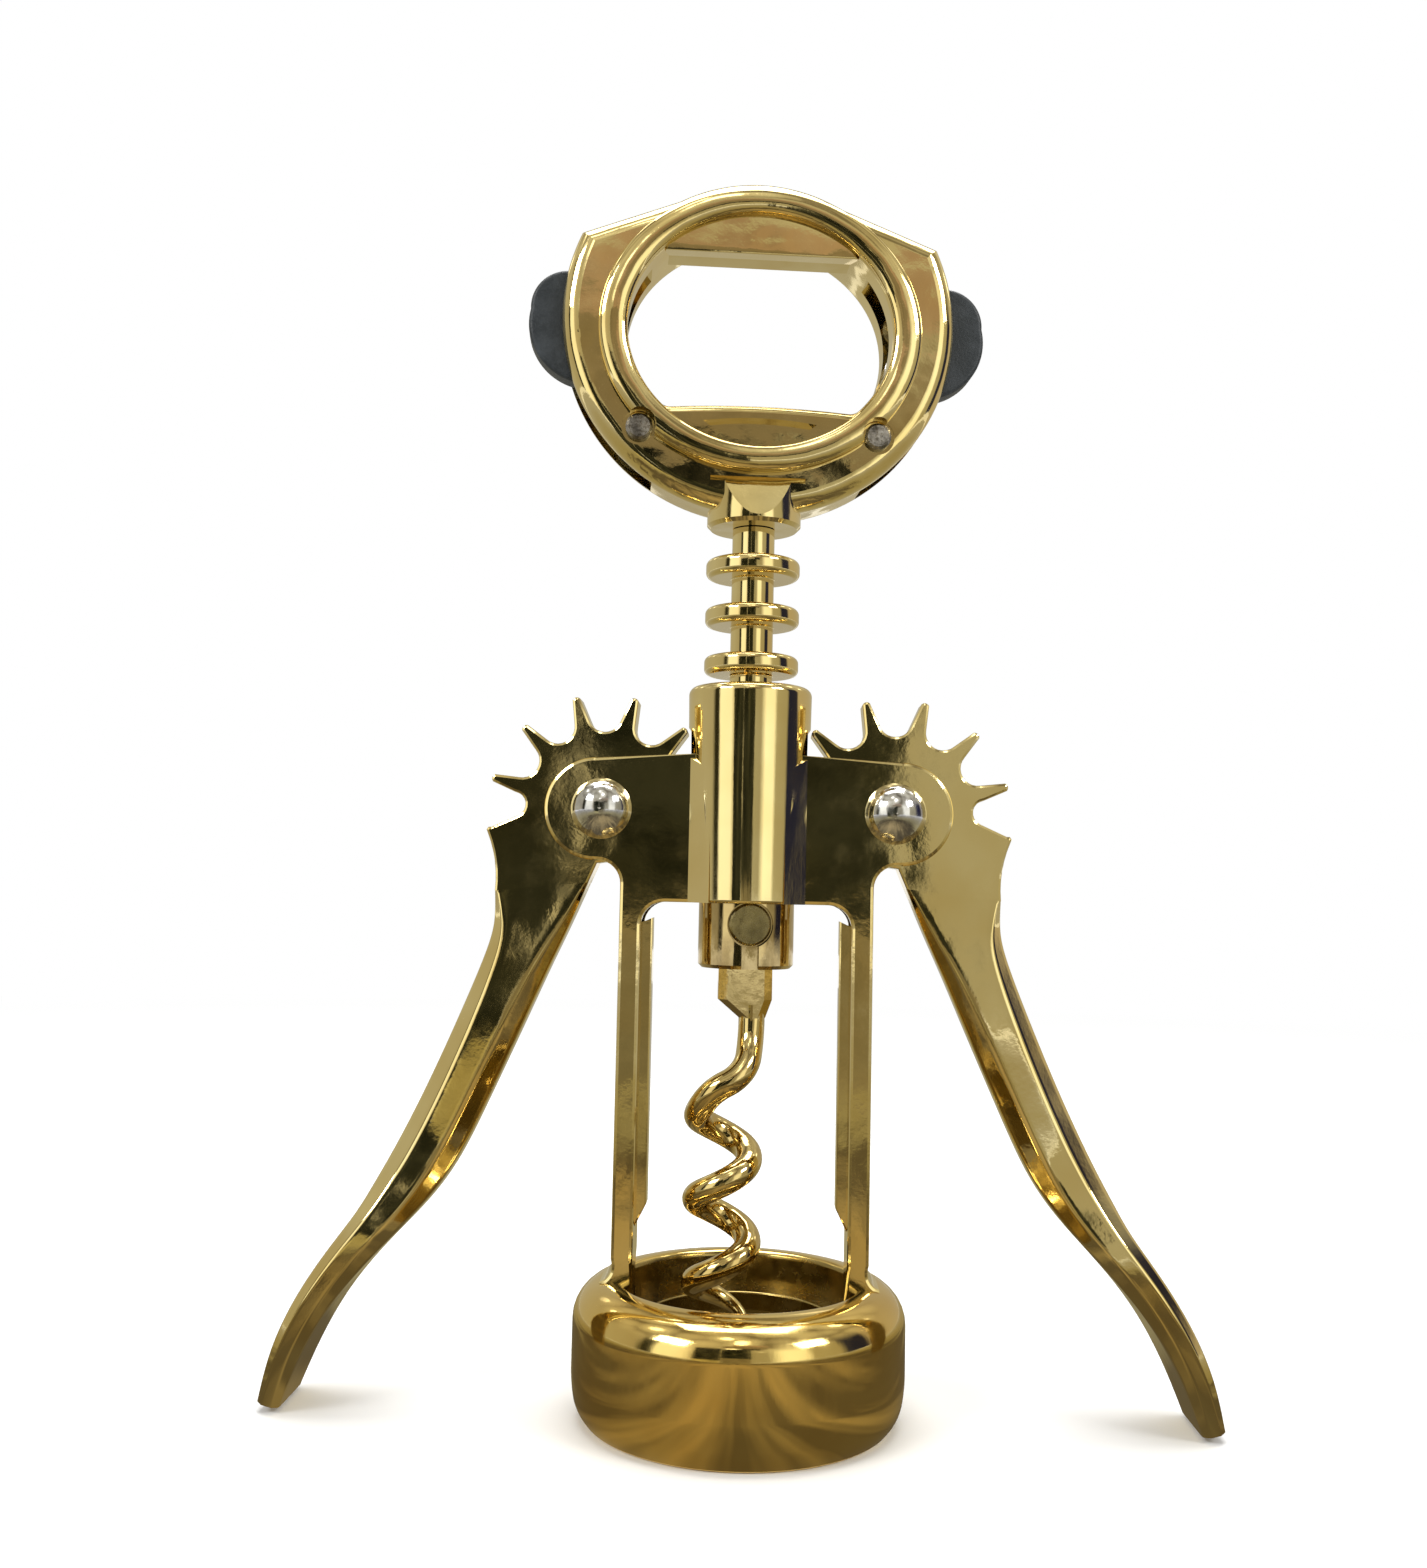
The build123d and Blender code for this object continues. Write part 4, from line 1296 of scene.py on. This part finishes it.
    def build(self, paints: Paints) -> None:
        """Builds and paints both levers.

        Args:
            paints: The finished materials.
        """
        for side in Side:
            lever = Body(f"{side.value}_lever")
            parts = (
                ("sector", self.sector(), self.sector_sharp_deg), ("arm", self.arm(), self.arm_sharp_deg),
            )
            for part, work, sharp_deg in parts:
                bmesh.ops.translate(work.bm, vec=(PIVOT[0], 0, PIVOT[1]), verts=work.bm.verts)
                if side is Side.LEFT:
                    work.flip()
                name = f"{lever.value}_{part}"
                work.finish(name, paints, Paint.CAST, lever, lever.value, sharp_deg=sharp_deg)


class Glow(Shading):
    """A glowing material for the things that only mirrors see."""

    def __init__(self, name: str) -> None:
        """Starts the material with its light, which lights nothing.

        Args:
            name: The material's name.
        """
        super().__init__(name)
        self.light = self.add("ShaderNodeEmission", Strength=1.0)
        self.join(self.light.outputs[0], self.output.inputs["Surface"])
        self.material.cycles.emission_sampling = "NONE"

    def cover(self, item: bpy.types.Object, colour: Socket) -> None:
        """Covers a piece of the set, and makes it show in mirrors alone.

        Args:
            item: The piece.
            colour: The socket with its colour.
        """
        self.join(colour, self.light.inputs["Color"])
        item.data.materials.append(self.material)
        item.visible_camera = False
        item.visible_diffuse = False
        item.visible_shadow = False
        item.visible_volume_scatter = False


@dataclass
class Floor:
    """The pale floor, which keeps the shadow and runs into the white background far off."""

    size: float = 12.0
    colour: Colour = (0.93, 0.93, 0.92)
    roughness: float = 0.9
    shine: float = 0.1
    cloud_scale: float = 3.0
    cloud_edges: Point = (0.3, 0.7)
    cloud_lift: float = 1.01
    fade_from: float = 0.30
    fade_to: float = 0.75

    def build(self) -> None:
        """Builds the floor."""
        bm = bmesh.new()
        bmesh.ops.create_grid(bm, x_segments=1, y_segments=1, size=self.size / 2)
        floor = to_scene("floor", bm)
        shading = Shading("pale_floor")
        shader = shading.add(
            "ShaderNodeBsdfPrincipled", Roughness=self.roughness, Specular_IOR_Level=self.shine
        )
        lifted = tuple(part * self.cloud_lift for part in self.colour)
        clouds = shading.noise(self.cloud_scale)
        tone = shading.ramp(clouds, list(zip(self.cloud_edges, (self.colour, lifted))))
        shading.join(tone, shader.inputs["Base Color"])
        distance = shading.vector("LENGTH", shading.coordinates()).outputs["Value"]
        fade = shading.span(distance, 0.0, 1.0, self.fade_from, self.fade_to)
        share = shading.number("MULTIPLY", fade, shading.seen_or_mirrored())
        shading.mix(share, shader, shading.add("ShaderNodeEmission", Strength=1.0))
        floor.data.materials.append(shading.material)


@dataclass
class Room:
    """The room that the metal mirrors: upright bands of light and dark, and a ceiling with spots.

    The bands go round the room from behind the object, through its left, the camera and its right.
    """

    radius: float = 1.5
    fineness: int = 4
    bands: Sequence[Stop] = (
        (0.00, (0.48, 0.45, 0.35)),
        (0.20, (0.52, 0.49, 0.38)),
        (0.30, (0.46, 0.42, 0.31)),
        (0.315, (0.03, 0.028, 0.015)),
        (0.335, (0.03, 0.028, 0.015)),
        (0.345, (1.30, 1.28, 1.10)),
        (0.405, (1.25, 1.22, 1.05)),
        (0.42, (0.62, 0.55, 0.40)),
        (0.47, (0.50, 0.46, 0.34)),
        (0.56, (0.42, 0.39, 0.28)),
        (0.585, (1.35, 1.32, 1.12)),
        (0.63, (1.30, 1.27, 1.08)),
        (0.645, (0.48, 0.44, 0.30)),
        (0.70, (0.44, 0.40, 0.27)),
        (0.715, (0.02, 0.022, 0.06)),
        (0.765, (0.03, 0.03, 0.06)),
        (0.78, (0.55, 0.48, 0.36)),
        (1.00, (0.48, 0.45, 0.35)),
    )
    spots: Sequence[Stop] = (
        (0.20, (3.2, 3.1, 2.8)), (0.24, (0.80, 0.76, 0.60)), (0.55, (0.56, 0.52, 0.40)),
        (0.75, (0.24, 0.21, 0.15)),
    )
    spots_across: float = 3.2
    ceiling_from: float = 0.42
    ceiling_to: float = 0.62

    def build(self) -> None:
        """Builds the room."""
        bm = bmesh.new()
        bmesh.ops.create_icosphere(bm, subdivisions=self.fineness, radius=self.radius)
        room = to_scene("room", bm)
        glow = Glow("room_walls")
        coordinates = glow.coordinates()
        facing = glow.add("ShaderNodeMapping", Rotation=(0, 0, math.pi / 2))
        radial = glow.add("ShaderNodeTexGradient", gradient_type="RADIAL")
        glow.join(coordinates, facing.inputs["Vector"])
        glow.join(facing.outputs["Vector"], radial.inputs["Vector"])
        walls = glow.ramp(radial.outputs["Fac"], self.bands)
        spots = glow.add("ShaderNodeTexVoronoi", Scale=self.spots_across / self.radius)
        glow.join(coordinates, spots.inputs["Vector"])
        ceiling = glow.ramp(spots.outputs["Distance"], self.spots)
        parts = glow.add("ShaderNodeSeparateXYZ")
        glow.join(coordinates, parts.inputs["Vector"])
        lift = glow.span(
            parts.outputs["Z"], 0.0, 1.0, self.ceiling_from * self.radius, self.ceiling_to * self.radius
        )
        mix = glow.add("ShaderNodeMix", data_type="RGBA")
        glow.join(lift, mix.inputs["Factor"])
        glow.join(walls, mix.inputs["A"])
        glow.join(ceiling, mix.inputs["B"])
        glow.cover(room, mix.outputs["Result"])


@dataclass
class TableTop:
    """The table top that mirrors see: brown before the object, dark beside it and pale far off."""

    size: float = 1.8
    lift_mm: float = 0.3
    spot_mm: Triple = (0.0, -95.0, 0.0)
    grain_scale: float = 90.0
    grain_detail: float = 3.0
    grain_stretch: Triple = (1.0, 0.12, 1.0)
    grain_sway: float = 0.035
    tones: Sequence[Stop] = (
        (0.02, (0.46, 0.35, 0.17)), (0.06, (0.30, 0.235, 0.12)), (0.10, (0.12, 0.095, 0.055)),
        (0.135, (0.13, 0.105, 0.06)), (0.18, (0.36, 0.31, 0.16)), (0.60, (0.46, 0.44, 0.38)),
    )

    def build(self) -> None:
        """Builds the table top."""
        bm = bmesh.new()
        bmesh.ops.create_grid(bm, x_segments=1, y_segments=1, size=self.size / 2)
        bmesh.ops.translate(bm, vec=(0, 0, self.lift_mm * MM), verts=bm.verts)
        table = to_scene("table_top", bm)
        glow = Glow("table_top")
        away = glow.vector("DISTANCE", glow.coordinates(), Vector(self.spot_mm) * MM).outputs["Value"]
        grain = glow.noise(self.grain_scale, self.grain_detail, self.grain_stretch)
        place = glow.number("ADD", away, glow.span(grain, -self.grain_sway, self.grain_sway))
        glow.cover(table, glow.ramp(place, self.tones))


class CardTone(Enum):
    """The cards' mottled colours, from the darkest patches to the lightest."""

    DARK = ((0.35, (0.012, 0.013, 0.008)), (0.62, (0.045, 0.045, 0.028)), (0.75, (0.12, 0.11, 0.06)))
    BLACK = ((0.4, (0.010, 0.011, 0.008)), (0.8, (0.05, 0.045, 0.03)))
    DIM = ((0.3, (0.17, 0.145, 0.085)), (0.7, (0.30, 0.25, 0.15)))
    LEMON = ((0.3, (0.38, 0.32, 0.14)), (0.7, (0.62, 0.54, 0.26)))
    BROWN = ((0.3, (0.20, 0.165, 0.11)), (0.7, (0.33, 0.27, 0.18)))
    TAN = ((0.3, (0.38, 0.28, 0.21)), (0.7, (0.52, 0.38, 0.27)))


@dataclass(frozen=True)
class Card:
    """An upright card with frayed edges behind the camera, seen only in mirrors, in millimetres."""

    name: str
    across: Point
    heights: Point
    behind: float
    tone: CardTone
    mottle_scale: float = 26.0
    mottle_detail: float = 3.0
    fray_scale: float = 60.0
    fray: float = 6.0

    def build(self) -> None:
        """Builds the card."""
        (left, right), (low, high) = self.across, self.heights
        middle = Vector(((left + right) / 2, -self.behind, (low + high) / 2)) * MM
        size = Vector((right - left, 0, high - low))
        bm = bmesh.new()
        upright = Matrix.Rotation(math.pi / 2, 4, "X")
        bmesh.ops.create_grid(bm, x_segments=1, y_segments=1, size=0.5 * MM, matrix=upright)
        bmesh.ops.scale(bm, vec=(size.x, 1, size.z), verts=bm.verts)
        bmesh.ops.translate(bm, vec=middle, verts=bm.verts)
        card = to_scene(self.name, bm)
        glow = Glow(self.name)
        from_middle = glow.vector("SUBTRACT", glow.coordinates(), middle)
        outward = glow.vector("ABSOLUTE", from_middle.outputs["Vector"])
        to_edge = glow.vector("SUBTRACT", size * MM / 2, outward.outputs["Vector"])
        parts = glow.add("ShaderNodeSeparateXYZ")
        glow.join(to_edge.outputs["Vector"], parts.inputs["Vector"])
        nearest = glow.number("MINIMUM", parts.outputs["X"], parts.outputs["Z"])
        wobble = glow.span(glow.noise(self.fray_scale), -self.fray * MM, 0.0)
        share = glow.span(glow.number("ADD", nearest, wobble), 0.0, 1.0, 0.0, self.fray * MM)
        glow.mix(share, glow.add("ShaderNodeBsdfTransparent"), glow.light)
        glow.cover(card, glow.ramp(glow.noise(self.mottle_scale, self.mottle_detail), self.tone.value))


@dataclass(frozen=True)
class Lamp:
    """A rectangular soft lamp, in millimetres and watts."""

    name: str
    place: Triple
    sides: Point
    power: float
    aim: Triple = (0.0, 0.0, 80.0)

    def build(self) -> None:
        """Hangs the lamp."""
        light = bpy.data.lights.new(self.name, "AREA")
        light.shape = "RECTANGLE"
        light.size, light.size_y = (side * MM for side in self.sides)
        light.energy = self.power
        lamp = bpy.data.objects.new(self.name, light)
        lamp.location = Vector(self.place) * MM
        way = (Vector(self.aim) - Vector(self.place)).normalized()
        lamp.rotation_euler = way.to_track_quat("-Z", "Y").to_euler()
        bpy.context.scene.collection.objects.link(lamp)


@dataclass
class Camera:
    """The camera at the photograph's viewing angle."""

    eye_mm: Triple = (1.8, -207.5, 70.7)
    aim_mm: Triple = (-4.9, 0.0, 85.1)
    roll_deg: float = 1.2
    photo_size: tuple[int, int] = (1427, 1568)
    photo_focal_px: float = 1500.0
    sensor_mm: float = 36.0
    nearest: float = 0.01

    def build(self) -> None:
        """Sets the camera up."""
        data = bpy.data.cameras.new("camera")
        data.sensor_width = self.sensor_mm
        data.lens = self.photo_focal_px / max(self.photo_size) * self.sensor_mm
        data.clip_start = self.nearest
        camera = bpy.data.objects.new("camera", data)
        eye, aim = Vector(self.eye_mm) * MM, Vector(self.aim_mm) * MM
        turn = (aim - eye).normalized().to_track_quat("-Z", "Y")
        camera.location = eye
        camera.rotation_mode = "QUATERNION"
        camera.rotation_quaternion = turn @ Quaternion((0, 0, 1), math.radians(self.roll_deg))
        bpy.context.scene.collection.objects.link(camera)
        bpy.context.scene.camera = camera


@dataclass
class Studio:
    """The plain floor, the soft lamps, the room that the metal mirrors and the camera."""

    sky_level: float = 0.62
    white: tuple[float, ...] = (1.0, 1.0, 1.0, 1.0)
    cards: Sequence[Card] = (
        Card("dark_card", across=(-64, 54), heights=(55, 206), behind=300, tone=CardTone.DARK),
        Card("dark_top_card", across=(14, 100), heights=(188, 222), behind=299.5, tone=CardTone.BLACK),
        Card("dark_side_card", across=(-170, -56), heights=(22, 219), behind=300.5, tone=CardTone.DARK),
        Card("lemon_card", across=(-170, -56), heights=(-10, 36), behind=300.8, tone=CardTone.LEMON),
        Card("dim_card", across=(-64, 54), heights=(-6, 80), behind=301, tone=CardTone.DIM),
        Card("brown_card", across=(-64, 128), heights=(210, 272), behind=301.5, tone=CardTone.BROWN),
        Card("tan_card", across=(-24, 140), heights=(256, 304), behind=302, tone=CardTone.TAN),
    )
    lamps: Sequence[Lamp] = (
        Lamp("left_softbox", place=(-620, -520, 620), sides=(360, 240), power=3.4),
        Lamp("right_softbox", place=(640, -420, 560), sides=(300, 220), power=2.6),
        Lamp("overhead_softbox", place=(0, 120, 900), sides=(700, 500), power=6.0),
    )

    def build_world(self) -> None:
        """White wherever the camera, a mirror or glass looks past everything, and a soft plain light."""
        world = bpy.data.worlds.new("studio")
        bpy.context.scene.world = world
        world.use_nodes = True
        wiring = Wiring(world.node_tree, "ShaderNodeOutputWorld")
        soft = wiring.add("ShaderNodeBackground", Color=self.white, Strength=self.sky_level)
        white = wiring.add("ShaderNodeBackground", Color=self.white, Strength=1.0)
        wiring.mix(wiring.seen_or_mirrored(), soft, white)

    def build(self) -> None:
        """Builds the whole set."""
        Floor().build()
        self.build_world()
        for item in (Room(), TableTop(), *self.cards, *self.lamps, Camera()):
            item.build()
        bpy.context.scene.view_settings.view_transform = "Standard"


@dataclass
class CarriedNodes:
    """The nodes whose own solids stay in view."""

    by_slot: dict[Slot, Paint] = field(
        default_factory=lambda: {
            Slot.GOLD: Paint.CAST, Slot.RIVET: Paint.RIVET, Slot.STEEL: Paint.STEEL,
            Slot.PLASTIC: Paint.PLASTIC,
        }
    )
    by_node: dict[str, Paint] = field(
        default_factory=lambda: {
            "stem": Paint.TURNED, "worm_socket": Paint.SOCKET, "worm_pin": Paint.DULL,
            "worm": Paint.WIRE, "handle_ring": Paint.RING,
        }
    )

    def dress(self, paints: Paints) -> None:
        """Gives every node in view its finish.

        Args:
            paints: The finished materials.
        """
        slots = {part["node"]: Slot(part["material_slot"]) for part in frame["record"]["subparts"]}
        for node, carried in frame["nodes"].items():
            paint = self.by_node.get(node, self.by_slot[slots[node]])
            paints.coat(carried.data, paint)
            log.info("node %s: %s", node, paint.value.name)


def main() -> None:
    """Builds the studio and the pieces, in order."""
    logging.basicConfig(level=logging.INFO, format="%(name)s: %(message)s")
    paints = Paints()
    Studio().build()
    CarriedNodes().dress(paints)
    Frame().build(paints)
    Rack().build(paints)
    Blade().build(paints)
    OvalBand().build(paints)
    Lever().build(paints)


if __name__ == "__main__":
    main()
